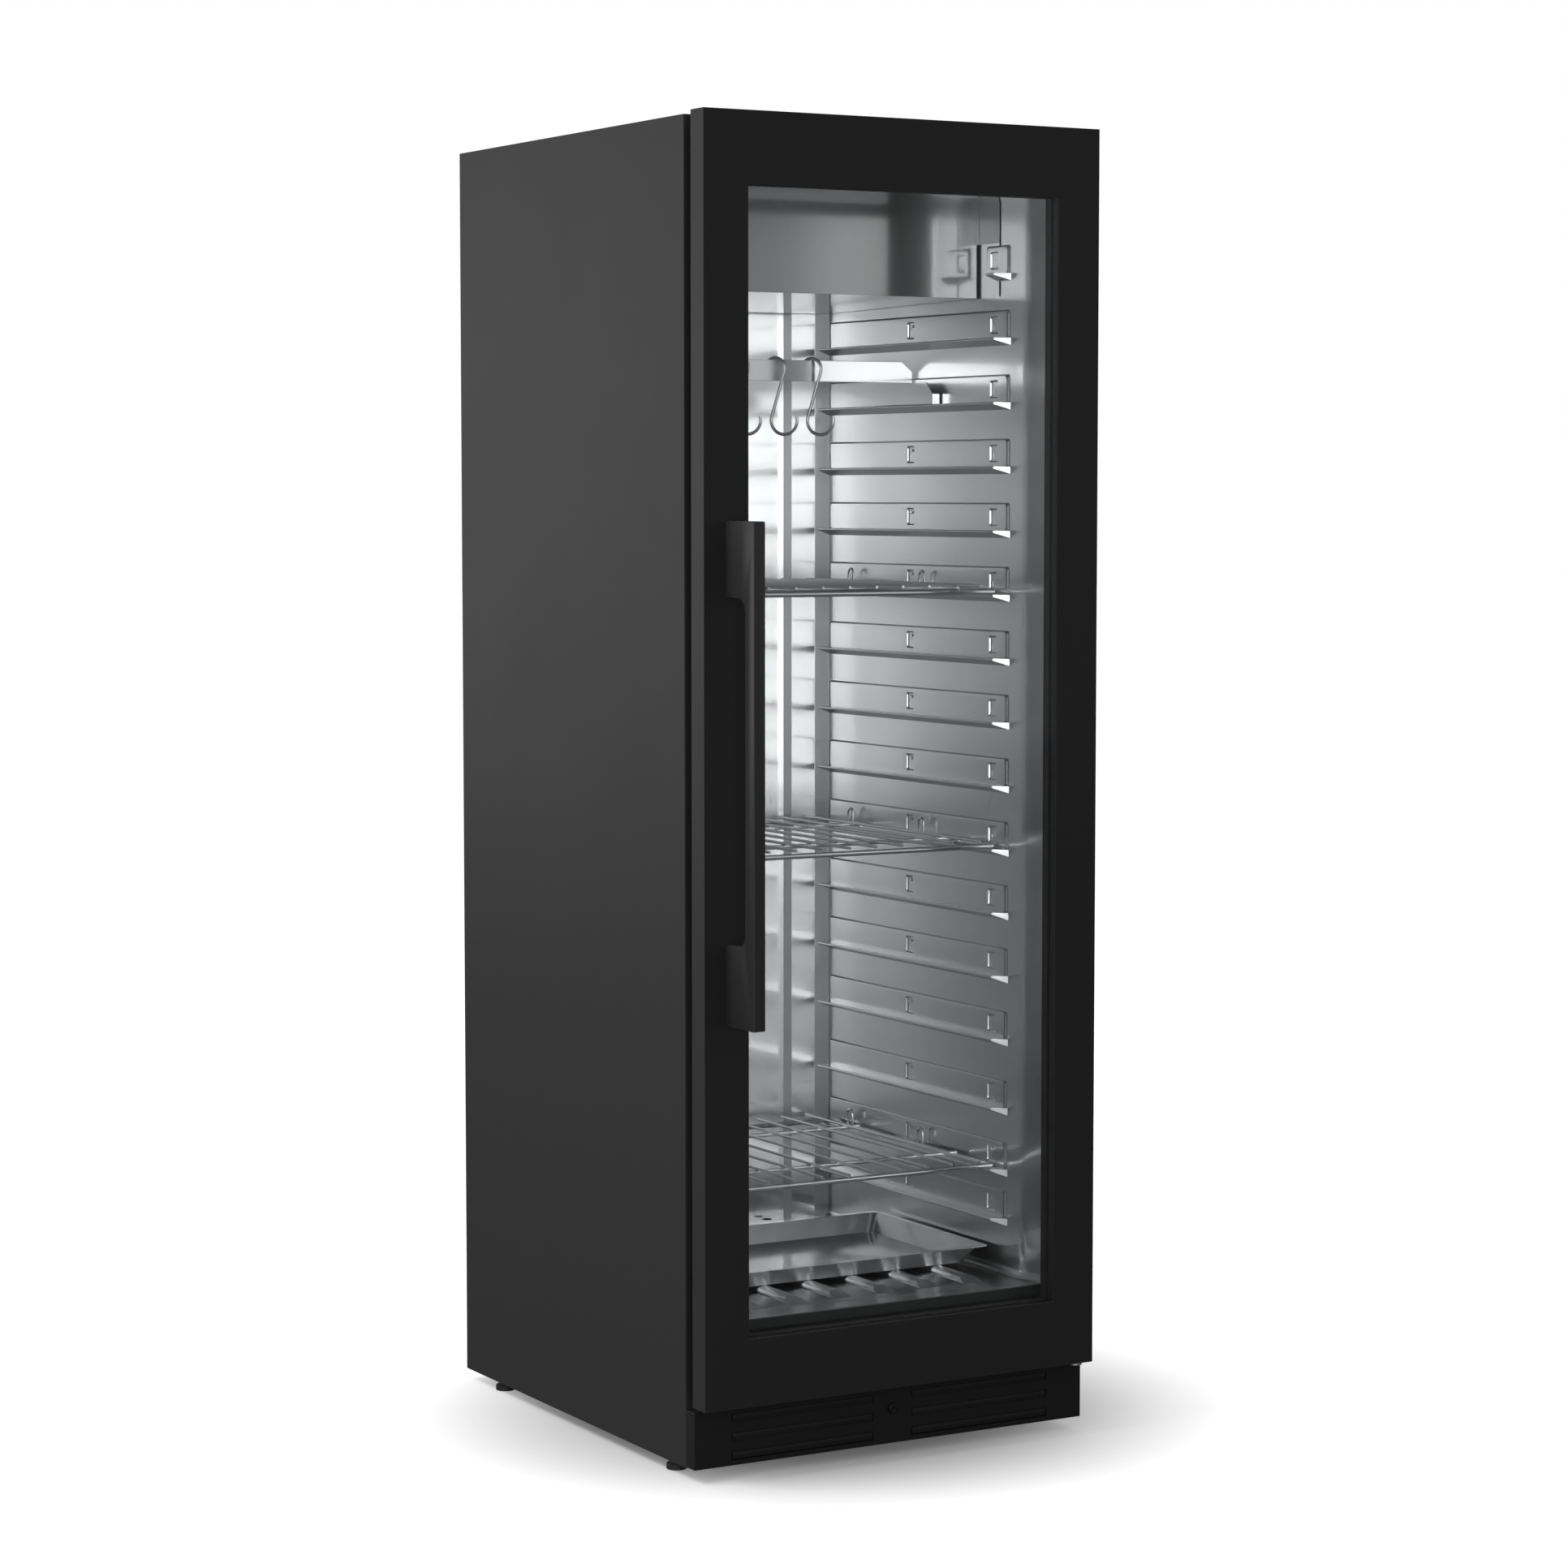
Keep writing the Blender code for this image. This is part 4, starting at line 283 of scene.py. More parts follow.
# %% Grain of sheets
COARSE_SCALE = 0.18
FINE_SHARE = 0.7
grain_inputs = [PLACE, ("Stretch", VECTOR, (1, 1, 1)), ("Scale", FLOAT, 900.0)]
grain, given, give = group_tree("streaked_grain", grain_inputs, ["Height", "Tone"])
stretch = grain.nodes.new("ShaderNodeVectorMath")
stretch.operation = "MULTIPLY"
grain.links.new(given.outputs["Place"], stretch.inputs[0])
grain.links.new(given.outputs["Stretch"], stretch.inputs[1])
fine = noise(grain, stretch.outputs[0], given.outputs["Scale"], detail=4.0, roughness=0.65)
coarse_scale = math_node(grain, "MULTIPLY", given.outputs["Scale"], COARSE_SCALE)
both = blended(grain, fine, noise(grain, stretch.outputs[0], coarse_scale, detail=2.0), FINE_SHARE)
grain.links.new(both, give.inputs["Height"])
grain.links.new(math_node(grain, "SUBTRACT", both, 0.5), give.inputs["Tone"])
print("group:", grain.name)

# %% [markdown]
# ### Smears and dust
# Hands leave wide, faint smears that change how sharp a reflection is, not its colour. Dust settles on
# faces that look up, so its mask is the upward part of the normal, broken up by noise.

# %% Smears and dust
WIDE_SHARE = 0.75
SMALL_SMEARS = 9.0
DUST_PATCHES = 38.0
smears, given, give = group_tree("handling_smears", [PLACE, ("Scale", FLOAT, 6.0)], ["Change"])
wide_noise = noise(smears, given.outputs["Place"], given.outputs["Scale"], detail=5.0, roughness=0.6)
small_scale = math_node(smears, "MULTIPLY", given.outputs["Scale"], SMALL_SMEARS)
mixed = blended(smears, wide_noise, noise(smears, given.outputs["Place"], small_scale), WIDE_SHARE)
smears.links.new(math_node(smears, "SUBTRACT", mixed, 0.5), give.inputs["Change"])

dust, given, give = group_tree("settled_dust", [PLACE, ("Amount", FLOAT, 0.3)], ["Mask"])
shape = dust.nodes.new("ShaderNodeNewGeometry")
split = dust.nodes.new("ShaderNodeSeparateXYZ")
dust.links.new(shape.outputs["Normal"], split.inputs[0])
upward = math_node(dust, "MAXIMUM", split.outputs["Z"], 0.0)
patchy = noise(dust, given.outputs["Place"], DUST_PATCHES, detail=5.0, roughness=0.7)
settled = math_node(dust, "MULTIPLY", math_node(dust, "MULTIPLY", upward, patchy), given.outputs["Amount"])
dust.links.new(settled, give.inputs["Mask"])
print("groups:", smears.name, dust.name)

# %% [markdown]
# ### Rubbed edges
# Paint wears first along edges. The Bevel shader node gives a normal that is rounded near an edge, and
# where it turns away from the true normal, there is an edge. Noise keeps the wear patchy.

# %% Rubbed edges
EDGE_TURN = (0.995, 0.90)
WEAR_PATCHES = 60.0
rub, given, give = group_tree("rubbed_edges", [PLACE, ("Width", FLOAT, 0.0012)], ["Mask"])
plain = rub.nodes.new("ShaderNodeNewGeometry")
rounding = rub.nodes.new("ShaderNodeBevel")
rounding.samples = 4
rub.links.new(given.outputs["Width"], rounding.inputs["Radius"])
turned = rub.nodes.new("ShaderNodeVectorMath")
turned.operation = "DOT_PRODUCT"
rub.links.new(plain.outputs["Normal"], turned.inputs[0])
rub.links.new(rounding.outputs["Normal"], turned.inputs[1])
edge = ramp(rub, turned.outputs["Value"], *EDGE_TURN)
patches = noise(rub, given.outputs["Place"], WEAR_PATCHES, detail=4.0, roughness=0.7)
rub.links.new(math_node(rub, "MULTIPLY", edge, patches), give.inputs["Mask"])
print("group:", rub.name)

# %% [markdown]
# ## One recipe for sheet, plastic and metal
# A finish starts from a Principled shader with its plain values on the shader's own sockets. Grain feeds
# a bump, smears vary the roughness, and dust and rubbed edges shift the colour a little. Steel gets a
# thin polished top layer over a satin body, because a brushed sheet mirrors sharply and softly at once.

# %% The finish recipe
RUB_STRENGTH = 0.8


def place_group(tree, group, vector, **values):
    """Adds a node group that reads a place, with its other inputs set."""
    node = tree.nodes.new("ShaderNodeGroup")
    node.node_tree = group
    tree.links.new(vector, node.inputs["Place"])
    for label, value in values.items():
        node.inputs[label].default_value = value
    return node.outputs


def blend_colour(tree, mask, first, second):
    """Mixes two colours, each a tuple or a socket, by a mask."""
    node = tree.nodes.new("ShaderNodeMix")
    node.data_type = "RGBA"
    feed(tree, mask, node.inputs["Factor"])
    for socket, value in ((node.inputs[6], first), (node.inputs[7], second)):
        feed(tree, (*value, 1.0) if isinstance(value, tuple) else value, socket)
    return node.outputs[2]


def finish(name, colour, rough, metal=0.0, stretch=(1, 1, 1), scale=900.0, bump=0.05, depth=0.0002, tone=0.2,
           smear=0.12, dusty=0.15, dust_colour=(0.35, 0.34, 0.33), worn=None, shine=0.5, polish=None):
    """A finish with grain, smears, dust and, where asked, rubbed edges or a polished top layer."""
    made, tree, shader = new_material(name, {"Metallic": metal, "Specular IOR Level": shine})
    if polish:
        shader.inputs["Coat Weight"].default_value = 1.0
        shader.inputs["Coat IOR"].default_value, shader.inputs["Coat Roughness"].default_value = polish
    coords = own_place(tree)
    streaks = place_group(tree, grain, coords, Stretch=stretch, Scale=scale)
    marks = place_group(tree, smears, coords)
    veil = place_group(tree, dust, coords, Amount=dusty)
    lighter = tuple(min(1.0, value * (1 + tone)) for value in colour)
    darker = tuple(value * (1 - tone) for value in colour)
    body = blend_colour(tree, streaks["Height"], darker, lighter)
    if worn:
        edges = place_group(tree, rub, coords)
        body = blend_colour(tree, math_node(tree, "MULTIPLY", edges["Mask"], RUB_STRENGTH), body, worn)
    body = blend_colour(tree, veil["Mask"], body, dust_colour)
    tree.links.new(body, shader.inputs["Base Color"])
    change = math_node(tree, "ADD", math_node(tree, "MULTIPLY", marks["Change"], smear),
                       math_node(tree, "MULTIPLY", streaks["Tone"], smear))
    tree.links.new(math_node(tree, "ADD", change, rough), shader.inputs["Roughness"])
    relief = tree.nodes.new("ShaderNodeBump")
    relief.inputs["Strength"].default_value = bump
    relief.inputs["Distance"].default_value = depth
    tree.links.new(streaks["Height"], relief.inputs["Height"])
    tree.links.new(relief.outputs["Normal"], shader.inputs["Normal"])
    return made


print("recipe ready")

# %% [markdown]
# ## The finishes
# The casing is powder coated and the door has a smoother satin black. The liner is satin stainless steel
# with upright streaks, and the shelves and the bar are brighter steel. The names on the left are the
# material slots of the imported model.

# %% Mix the black coats and plastics
WORN_GREY = (0.06, 0.06, 0.06)
finishes = {
    "black_casing": finish("black_powder_coat", (0.036, 0.036, 0.037), 0.46, scale=1300, bump=0.12,
                           worn=WORN_GREY, shine=0.05),
    "black_door": finish("satin_black_door", (0.0225, 0.0225, 0.0228), 0.42, scale=1500, bump=0.05, tone=0.12,
                         worn=(0.035, 0.035, 0.035), shine=0.06),
    "black_handle": finish("satin_black_handle", (0.027, 0.027, 0.027), 0.36, scale=1500, bump=0.06,
                           worn=WORN_GREY, shine=0.18),
    "dark_frame": finish("dark_frame_coat", (0.020, 0.021, 0.022), 0.42, scale=1300, bump=0.08),
    "black_plastic": finish("moulded_black", (0.022, 0.022, 0.023), 0.48, scale=1100, bump=0.15),
    "black_rubber": finish("gasket_rubber", (0.004, 0.004, 0.004), 0.75, scale=900, bump=0.15, smear=0.1,
                           dusty=0.03, shine=0.2),
    "white_nylon": finish("white_nylon", (0.78, 0.78, 0.75), 0.42, scale=700, bump=0.06, tone=0.04),
    "foam": finish("insulation_foam", (0.72, 0.65, 0.46), 0.92, scale=520, bump=0.5, depth=0.0006, tone=0.1),
}
# The door's sides: lighter than the front, which paints in part the light they catch from the left.
door_side_painted_light = finish("door_coat_painted_light", (0.034, 0.034, 0.035), 0.44, scale=1500, bump=0.05, tone=0.12,
                   worn=WORN_GREY, shine=0.05)
kick_coat = finish("kick_coat", (0.0105, 0.0105, 0.0105), 0.46, scale=1300, bump=0.08, dusty=0.03, shine=0.20)
lock_black = finish("lock_black", (0.010, 0.010, 0.010), 0.36, scale=1500, bump=0.06, dusty=0.05, shine=0.15)
# Near black: painted shade in the slots of the kick grille.
filter_black_painted_shade = finish("filter_mesh_painted_shade", (0.004, 0.004, 0.004), 0.7, scale=1600, bump=0.4, dusty=0.0)
print("coats and plastics by slot:", len(finishes))

# %% [markdown]
# Brushed sheets differ in the way the belt ran: up and down on walls and cover, front to back on the
# floor, and round the wires of the shelves. Cover and floor are the same steel with a much darker colour,
# which paints in shade: they mirror the dim parts of the cavity.

# %% Mix the metals
BRUSHED = dict(metal=1.0, scale=420, depth=0.0001, dusty=0.03)
UPRIGHT, ROUND_WIRE, FRONT_TO_BACK = (6, 6, 0.25), (0.4, 4, 4), (4, 0.3, 4)
finishes["stainless"] = finish("satin_stainless", (0.80, 0.80, 0.81), 0.31, stretch=UPRIGHT, bump=0.02,
                               tone=0.05, smear=0.05, polish=(3.4, 0.11), **BRUSHED)
finishes["polished_steel"] = finish("bright_stainless", (0.80, 0.80, 0.81), 0.30, stretch=ROUND_WIRE,
                                    bump=0.03, tone=0.04, smear=0.04, polish=(3.4, 0.08), **BRUSHED)
# Floor and cover: far darker than the wall steel, as painted shade.
floor_steel_painted_shade = finish("floor_steel_painted_shade", (0.26, 0.26, 0.265), 0.33, stretch=FRONT_TO_BACK, bump=0.03, tone=0.06,
                     smear=0.05, polish=(2.2, 0.12), **BRUSHED)
cover_steel_painted_shade = finish("cover_steel_painted_shade", (0.25, 0.25, 0.257), 0.33, stretch=UPRIGHT, bump=0.02, tone=0.05,
                     smear=0.04, polish=(2.5, 0.10), **BRUSHED)
finishes["zinc_steel"] = finish("zinc_plated_sheet", (0.52, 0.53, 0.54), 0.40, metal=1.0, scale=160,
                                bump=0.10, tone=0.12, smear=0.2)
finishes["aluminium"] = finish("plain_aluminium", (0.72, 0.73, 0.74), 0.32, metal=1.0, stretch=(1, 1, 6),
                               scale=500, bump=0.08, depth=0.0001, tone=0.06)
finishes["copper"] = finish("copper_pipe", (0.70, 0.34, 0.20), 0.28, metal=1.0, scale=260, bump=0.05,
                            depth=0.0001, tone=0.15, dust_colour=(0.25, 0.16, 0.10))
print("finishes by slot:", len(finishes))

# %% [markdown]
# ## Glass
# The panes are plain clear glass. Rays that come from lamps pass straight through, because real panes
# cast almost no shadow. A low specular tint keeps the panes' own mirror image faint, so that it doesn't
# veil the cavity.

# %% Make the glass
GLASS_IOR = 1.45
PANE_MIRROR = (0.10, 0.10, 0.10, 1.0)
PASSED_LIGHT = (0.97, 0.975, 0.975, 1.0)


def pane_glass():
    """Clear glass that lets light from lamps through."""
    made, tree, shader = new_material("clear_pane", {"Roughness": 0.0, "Transmission Weight": 1.0,
                                                     "IOR": GLASS_IOR, "Specular Tint": PANE_MIRROR})
    marks = place_group(tree, smears, own_place(tree), Scale=3.0)
    tint = blend_colour(tree, math_node(tree, "ADD", marks["Change"], 0.5), (0.975, 0.980, 0.980),
                        (0.990, 0.992, 0.992))
    tree.links.new(tint, shader.inputs["Base Color"])
    path = tree.nodes.new("ShaderNodeLightPath").outputs
    through = tree.nodes.new("ShaderNodeBsdfTransparent")
    through.inputs["Color"].default_value = PASSED_LIGHT
    mix = tree.nodes.new("ShaderNodeMixShader")
    lit = math_node(tree, "MAXIMUM", path["Is Shadow Ray"], path["Is Diffuse Ray"])
    bounced = math_node(tree, "SUBTRACT", path["Is Glossy Ray"], path["Is Transmission Ray"])
    tree.links.new(math_node(tree, "MAXIMUM", lit, bounced), mix.inputs["Fac"])
    tree.links.new(shader.outputs[0], mix.inputs[1])
    tree.links.new(through.outputs[0], mix.inputs[2])
    tree.links.new(mix.outputs[0], tree.nodes["Material Output"].inputs["Surface"])
    return made


finishes["clear_glass"] = pane_glass()
print("glass:", finishes["clear_glass"].name)

# %% [markdown]
# ## The lamp, and a first coat for everything
# The lamp in the ceiling glows, as the cavity in the photograph is lit from above, in front of the cover.
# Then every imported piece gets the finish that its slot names.

# %% Make the lamp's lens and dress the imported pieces
LAMP_GLOW = 0.3


def lamp_lens(strength):
    """A milky lens with a slightly uneven glow."""
    made, tree, shader = new_material("lamp_lens", {"Base Color": (0.9, 0.9, 0.88, 1.0), "Roughness": 0.35,
                                                    "Emission Strength": strength})
    dots = place_group(tree, smears, own_place(tree), Scale=40.0)
    glow = blend_colour(tree, math_node(tree, "ADD", dots["Change"], 0.5), (0.93, 0.96, 1.0), (1.0, 1.0, 1.0))
    tree.links.new(glow, shader.inputs["Emission Color"])
    return made


finishes["lamp"] = lamp_lens(LAMP_GLOW)
for node, piece in nodes.items():
    piece.data.materials.clear()
    piece.data.materials.append(finishes[slot_of[node]])
print("dressed:", len(nodes), "nodes with", len(finishes), "finishes")

# %% [markdown]
# ## Softened edges
# Real sheet bends over a small radius, so each fold shows a thin highlight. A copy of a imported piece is
# merged, its flat areas are joined, and a Bevel modifier rounds what is left. Weighted normals then keep
# the large faces flat to the eye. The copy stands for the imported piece.

# %% Write the tools for softened copies
MERGE = 0.00002
FLAT_WITHIN = 0.5
FOLD_ANGLE = 30.0


def drawn_object(name, bm):
    """A new object from a bmesh, which is freed."""
    mesh = bpy.data.meshes.new(name)
    bm.to_mesh(mesh)
    bm.free()
    return placed(name, mesh)


def plain_copy(piece):
    """The evaluated mesh of an object as a plain object of the same name, at the origin."""
    name = piece.name
    bpy.context.view_layer.update()
    graph = bpy.context.evaluated_depsgraph_get()
    mesh = bpy.data.meshes.new_from_object(piece.evaluated_get(graph))
    bpy.data.objects.remove(piece, do_unlink=True)
    return placed(name, mesh)


def paint(piece, look):
    """Gives a piece one finish."""
    piece.data.materials.clear()
    piece.data.materials.append(look)


def smooth_by_angle(piece, degrees):
    """Smooth shading with sharp edges over an angle."""
    piece.data.shade_smooth()
    piece.data.set_sharp_from_angle(angle=math.radians(degrees))


def softened(node, width, segments=2, look=None, smooth=40.0):
    """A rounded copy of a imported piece, or one that is only shaded smooth at width zero, standing for it."""
    bm = bmesh.new()
    bm.from_mesh(nodes[node].data)
    bmesh.ops.remove_doubles(bm, verts=bm.verts, dist=MERGE)
    bmesh.ops.dissolve_limit(bm, angle_limit=math.radians(FLAT_WITHIN), verts=bm.verts, edges=bm.edges)
    piece = drawn_object(node + "_soft", bm)
    piece.data.shade_smooth()
    if width:
        bevel = piece.modifiers.new("edges", "BEVEL")
        bevel.width = width
        bevel.segments = segments
        bevel.limit_method = "ANGLE"
        bevel.angle_limit = math.radians(FOLD_ANGLE)
        piece.modifiers.new("flats", "WEIGHTED_NORMAL").weight = 100
    made = plain_copy(piece)
    if not width:
        smooth_by_angle(made, smooth)
    paint(made, look or finishes[slot_of[node]])
    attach(made, body_of[node])
    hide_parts(node)
    return made


print("tools for copies ready")

# %% [markdown]
# The radius follows the sheet: tight on the thin casing, wider on the door's skin. The door's front is a
# smoother coat than its sides, so faces that don't look forward get a second finish, whose lighter colour
# paints in part the light that the door's sides catch from the left.

# %% Soften the folded pieces
SOFT_EDGES = {
    "door_skin": 0.0012, "casing_left": 0.0003, "casing_right": 0.0003, "casing_top": 0.0003,
    "drip_tray": 0.0004, "bar_bracket_left": 0.0005, "bar_bracket_right": 0.0005, "hanging_bar": 0.0005,
    "front_frame": 0.0004, "condensate_pan": 0.0006, "power_inlet": 0.0004,
}
FORWARD = -0.95
for node, width in SOFT_EDGES.items():
    made = softened(node, width)
    # The door's faces that don't look forward get the lighter coat, which paints in light.
    if node == "door_skin":
        made.data.materials.append(door_side_painted_light)
        for face in made.data.polygons:
            face.material_index = 0 if face.normal.y < FORWARD else 1
    print(node, len(made.data.polygons), "faces")
softened("evaporator_cover", 0.0005, look=cover_steel_painted_shade)
softened("kick_grille", 0.0007, 3, look=kick_coat)
softened("liner_back", 0.0025, 4)
softened("liner_floor", 0.0, look=floor_steel_painted_shade, smooth=32)

# %% [markdown]
# Wires, pipes and turned pieces have no folds to round. They only need smooth shading, with the real
# edges kept.

# %% Smooth the round pieces
ROUND_ANGLE = 50
ROUND_PIECES = [
    "shelf_1", "shelf_2", "shelf_3", "hook_1", "hook_2", "hook_3",
    "suction_pipe", "discharge_pipe", "drain_tube", "compressor", "door_handle", "door_gasket",
    "hinge_bush_upper", "hinge_bush_lower", "foot_front_left", "foot_front_right",
    "foot_rear_left", "foot_rear_right", "evaporator_fan", "condenser_fan",
    "evaporator_fan_housing", "condenser_fan_housing", "hinge_upper", "hinge_lower", "control_box",
]
for node in ROUND_PIECES:
    softened(node, 0.0, smooth=ROUND_ANGLE)
softened("lock_barrel", 0.0, look=lock_black, smooth=ROUND_ANGLE)
print("smooth pieces:", len(ROUND_PIECES) + 1)

# %% [markdown]
# ## One node group for everything that repeats
# Slats, fins, ribs and screws are the same piece again and again. A Geometry Nodes group puts the piece
# on the points of a line, so the count and the step are two plain inputs. Used twice in a row it fills a
# grid.

# %% Build the repeating group
def repeat_group():
    """A node group that repeats its geometry along a line and gives it a material."""
    tree = bpy.data.node_groups.new("repeated_piece", "GeometryNodeTree")
    for label, kind in (("Piece", "Geometry"), ("Count", "Int"), ("Step", "Vector"), ("Finish", "Material")):
        tree.interface.new_socket(label, in_out="INPUT", socket_type="NodeSocket" + kind)
    tree.interface.new_socket("Pieces", in_out="OUTPUT", socket_type="NodeSocketGeometry")
    given, give = tree.nodes.new("NodeGroupInput"), tree.nodes.new("NodeGroupOutput")
    line = tree.nodes.new("GeometryNodeMeshLine")
    place = tree.nodes.new("GeometryNodeInstanceOnPoints")
    real = tree.nodes.new("GeometryNodeRealizeInstances")
    painted = tree.nodes.new("GeometryNodeSetMaterial")
    tree.links.new(given.outputs["Count"], line.inputs["Count"])
    tree.links.new(given.outputs["Step"], line.inputs["Offset"])
    tree.links.new(line.outputs["Mesh"], place.inputs["Points"])
    tree.links.new(given.outputs["Piece"], place.inputs["Instance"])
    tree.links.new(place.outputs["Instances"], real.inputs["Geometry"])
    tree.links.new(real.outputs["Geometry"], painted.inputs["Geometry"])
    tree.links.new(given.outputs["Finish"], painted.inputs["Material"])
    tree.links.new(painted.outputs["Geometry"], give.inputs["Pieces"])
    return tree


repeated = repeat_group()
socket_of = {item.name: item.identifier for item in repeated.interface.items_tree if item.in_out == "INPUT"}
print("group:", repeated.name, sorted(socket_of))

# %% [markdown]
# A modifier finds its inputs by the socket's identifier, not by its name. Once it has been evaluated, the
# result becomes a plain mesh, and the modifier is gone with the object that carried it.

# %% Write the tools that draw and repeat
def repeat(name, bm, rows, look, smooth=30):
    """Repeats a drawn piece by (count, step) rows, and gives back one plain mesh."""
    piece = drawn_object(name, bm)
    for count, step in rows:
        modifier = piece.modifiers.new("repeat", "NODES")
        modifier.node_group = repeated
        modifier[socket_of["Count"]] = count
        modifier[socket_of["Step"]] = step
        modifier[socket_of["Finish"]] = look
    made = plain_copy(piece)
    smooth_by_angle(made, smooth)
    return made


def add_box(bm, middle, size):
    """Adds a box to a bmesh."""
    corners = bmesh.ops.create_cube(bm, size=1.0)["verts"]
    bmesh.ops.scale(bm, vec=size, verts=corners)
    bmesh.ops.translate(bm, vec=middle, verts=corners)


def round_edges(bm, edges, radius, segments=2):
    """Rounds edges of a bmesh."""
    bmesh.ops.bevel(bm, geom=edges, offset=radius, segments=segments, profile=0.5, affect="EDGES")


def bridge(bm, first, second):
    """Quads between two closed rings of as many vertices."""
    for index in range(len(first)):
        after = (index + 1) % len(first)
        bm.faces.new((first[index], first[after], second[after], second[index]))


print("drawing tools ready")

# %% [markdown]
# ## Slats in the kick grille
# Each slot holds a flat slat that sits a little back from the face. Air passes round it through a narrow
# slit, and that slit draws a thin black outline on the black plate.

# %% Fit the slats
kick_low, kick_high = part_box("kick_grille")
SLOT_SIZE = (0.2140, 0.0120)
SLOT_MIDDLE = 0.1358
SLOT_RISE = 0.0126
SLOT_ROWS = 3
SLAT_ENDS = 0.0018
SLAT_SLIT = 0.0017
SLAT_THICK = 0.0024
SLAT_BACK = 0.0016
SLAT_ROUND = 0.0009
SLAT_PITCH = 0.0247
slat = bmesh.new()
add_box(slat, (-SLOT_MIDDLE, kick_low.y + SLAT_BACK, kick_low.z + SLOT_RISE),
        (SLOT_SIZE[0] - 2 * SLAT_ENDS, SLAT_THICK, SLOT_SIZE[1] - 2 * SLAT_SLIT))
round_edges(slat, slat.edges[:], SLAT_ROUND)
slats = repeat("kick_slats", slat, [(SLOT_ROWS, (0.0, 0.0, SLAT_PITCH)), (2, (2 * SLOT_MIDDLE, 0.0, 0.0))],
               kick_coat)
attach(slats, "cabinet")
print("slat faces:", len(slats.data.polygons))

# %% [markdown]
# ## Fins
# Both heat exchangers are packs of thin aluminium fins pressed on copper tube. The pitch is close on the
# warm side, and wider on the cold side, where frost needs room.

# %% Press the fins
FIN_THICK = 0.0003
FIN_PROUD = 0.0008


def fin_pack(name, node, pitch, margin):
    """Fins across the width of a packed heat exchanger, standing a little proud of its core."""
    low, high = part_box(node)
    count = int((high.x - low.x - 2 * margin) / pitch)
    middle = (low.x + margin, (low.y + high.y) / 2, (low.z + high.z) / 2 + FIN_PROUD)
    fin = bmesh.new()
    add_box(fin, middle, (FIN_THICK, high.y - low.y + FIN_PROUD * 2, high.z - low.z - margin / 2))
    made = repeat(name, fin, [(count, (pitch, 0.0, 0.0))], finishes["aluminium"])
    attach(made, body_of[node])
    print(name, count, "fins")


fin_pack("evaporator_fins", "evaporator", pitch=0.0042, margin=0.012)
fin_pack("condenser_fins", "condenser", pitch=0.0024, margin=0.008)

# %% [markdown]
# ## Ribs on the cavity floor
# The floor sheet has six pressed ribs that carry the drip tray. Their front ends slope down to the sheet
# in one flat face, and that face catches the light from the back wall. One rib is drawn, and the node
# group repeats it.

# %% Press the ribs
floor_low, floor_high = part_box("liner_floor")
RIB_COUNT = 6
RIB_EDGE = 0.171
RIB_FRONT = floor_low.y + 0.0532
RIB_BACK = floor_high.y - 0.0547
RIB_Z = floor_low.z + 0.00105
RIB_HALF = 0.01445
RIB_HIGH = 0.0076
RIB_SLOPE = 0.023
RIB_ROUND = 0.0005
RIB_STEPS = 24


def drawn_rib():
    """The leftmost rib, with a half-oval section and flat sloping ends."""
    bm = bmesh.new()
    rows = []
    for end, slope in ((RIB_FRONT, RIB_SLOPE), (RIB_BACK, -RIB_SLOPE)):
        row = []
        for step in range(RIB_STEPS + 1):
            angle = math.pi * step / RIB_STEPS
            rise = math.sin(angle)
            row.append(bm.verts.new((-RIB_EDGE + RIB_HALF * math.cos(angle), end + slope * rise,
                                     RIB_Z + RIB_HIGH * rise)))
        rows.append(row)
    for index in range(RIB_STEPS):
        bm.faces.new((rows[0][index], rows[0][index + 1], rows[1][index + 1], rows[1][index]))
    bm.faces.new(rows[0])
    bm.faces.new(list(reversed(rows[1])))
    bmesh.ops.recalc_face_normals(bm, faces=bm.faces)
    ends = [edge for edge in bm.edges if len(edge.link_faces) == 2
            and any(len(face.verts) > 4 for face in edge.link_faces)]
    round_edges(bm, ends, RIB_ROUND)
    return bm


rib_step = (2 * RIB_EDGE / (RIB_COUNT - 1), 0.0, 0.0)
floor_ribs = repeat("floor_ribs", drawn_rib(), [(RIB_COUNT, rib_step)], finishes["stainless"], smooth=24)
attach(floor_ribs, "cabinet")
print("rib faces:", len(floor_ribs.data.polygons))

# %% [markdown]
# ## Screws
# Pan-head screws with a star recess hold the top sheet, and pairs of smaller ones show in the narrow gap
# between door and casing. A lathe-like sweep of a few points makes the head: each row of the profile
# gives the reach and the height in radii, and whether the star is cut there.

# %% Turn the screws
SCREW_PROFILE = [(1.0, 0.0, 0), (1.0, 0.16, 0), (0.88, 0.33, 0), (0.62, 0.42, 0), (0.46, 0.43, 1),
                 (0.42, 0.16, 1)]
SCREW_TURNS = 24
STAR_POINTS = 6
STAR_DEPTH = 0.14


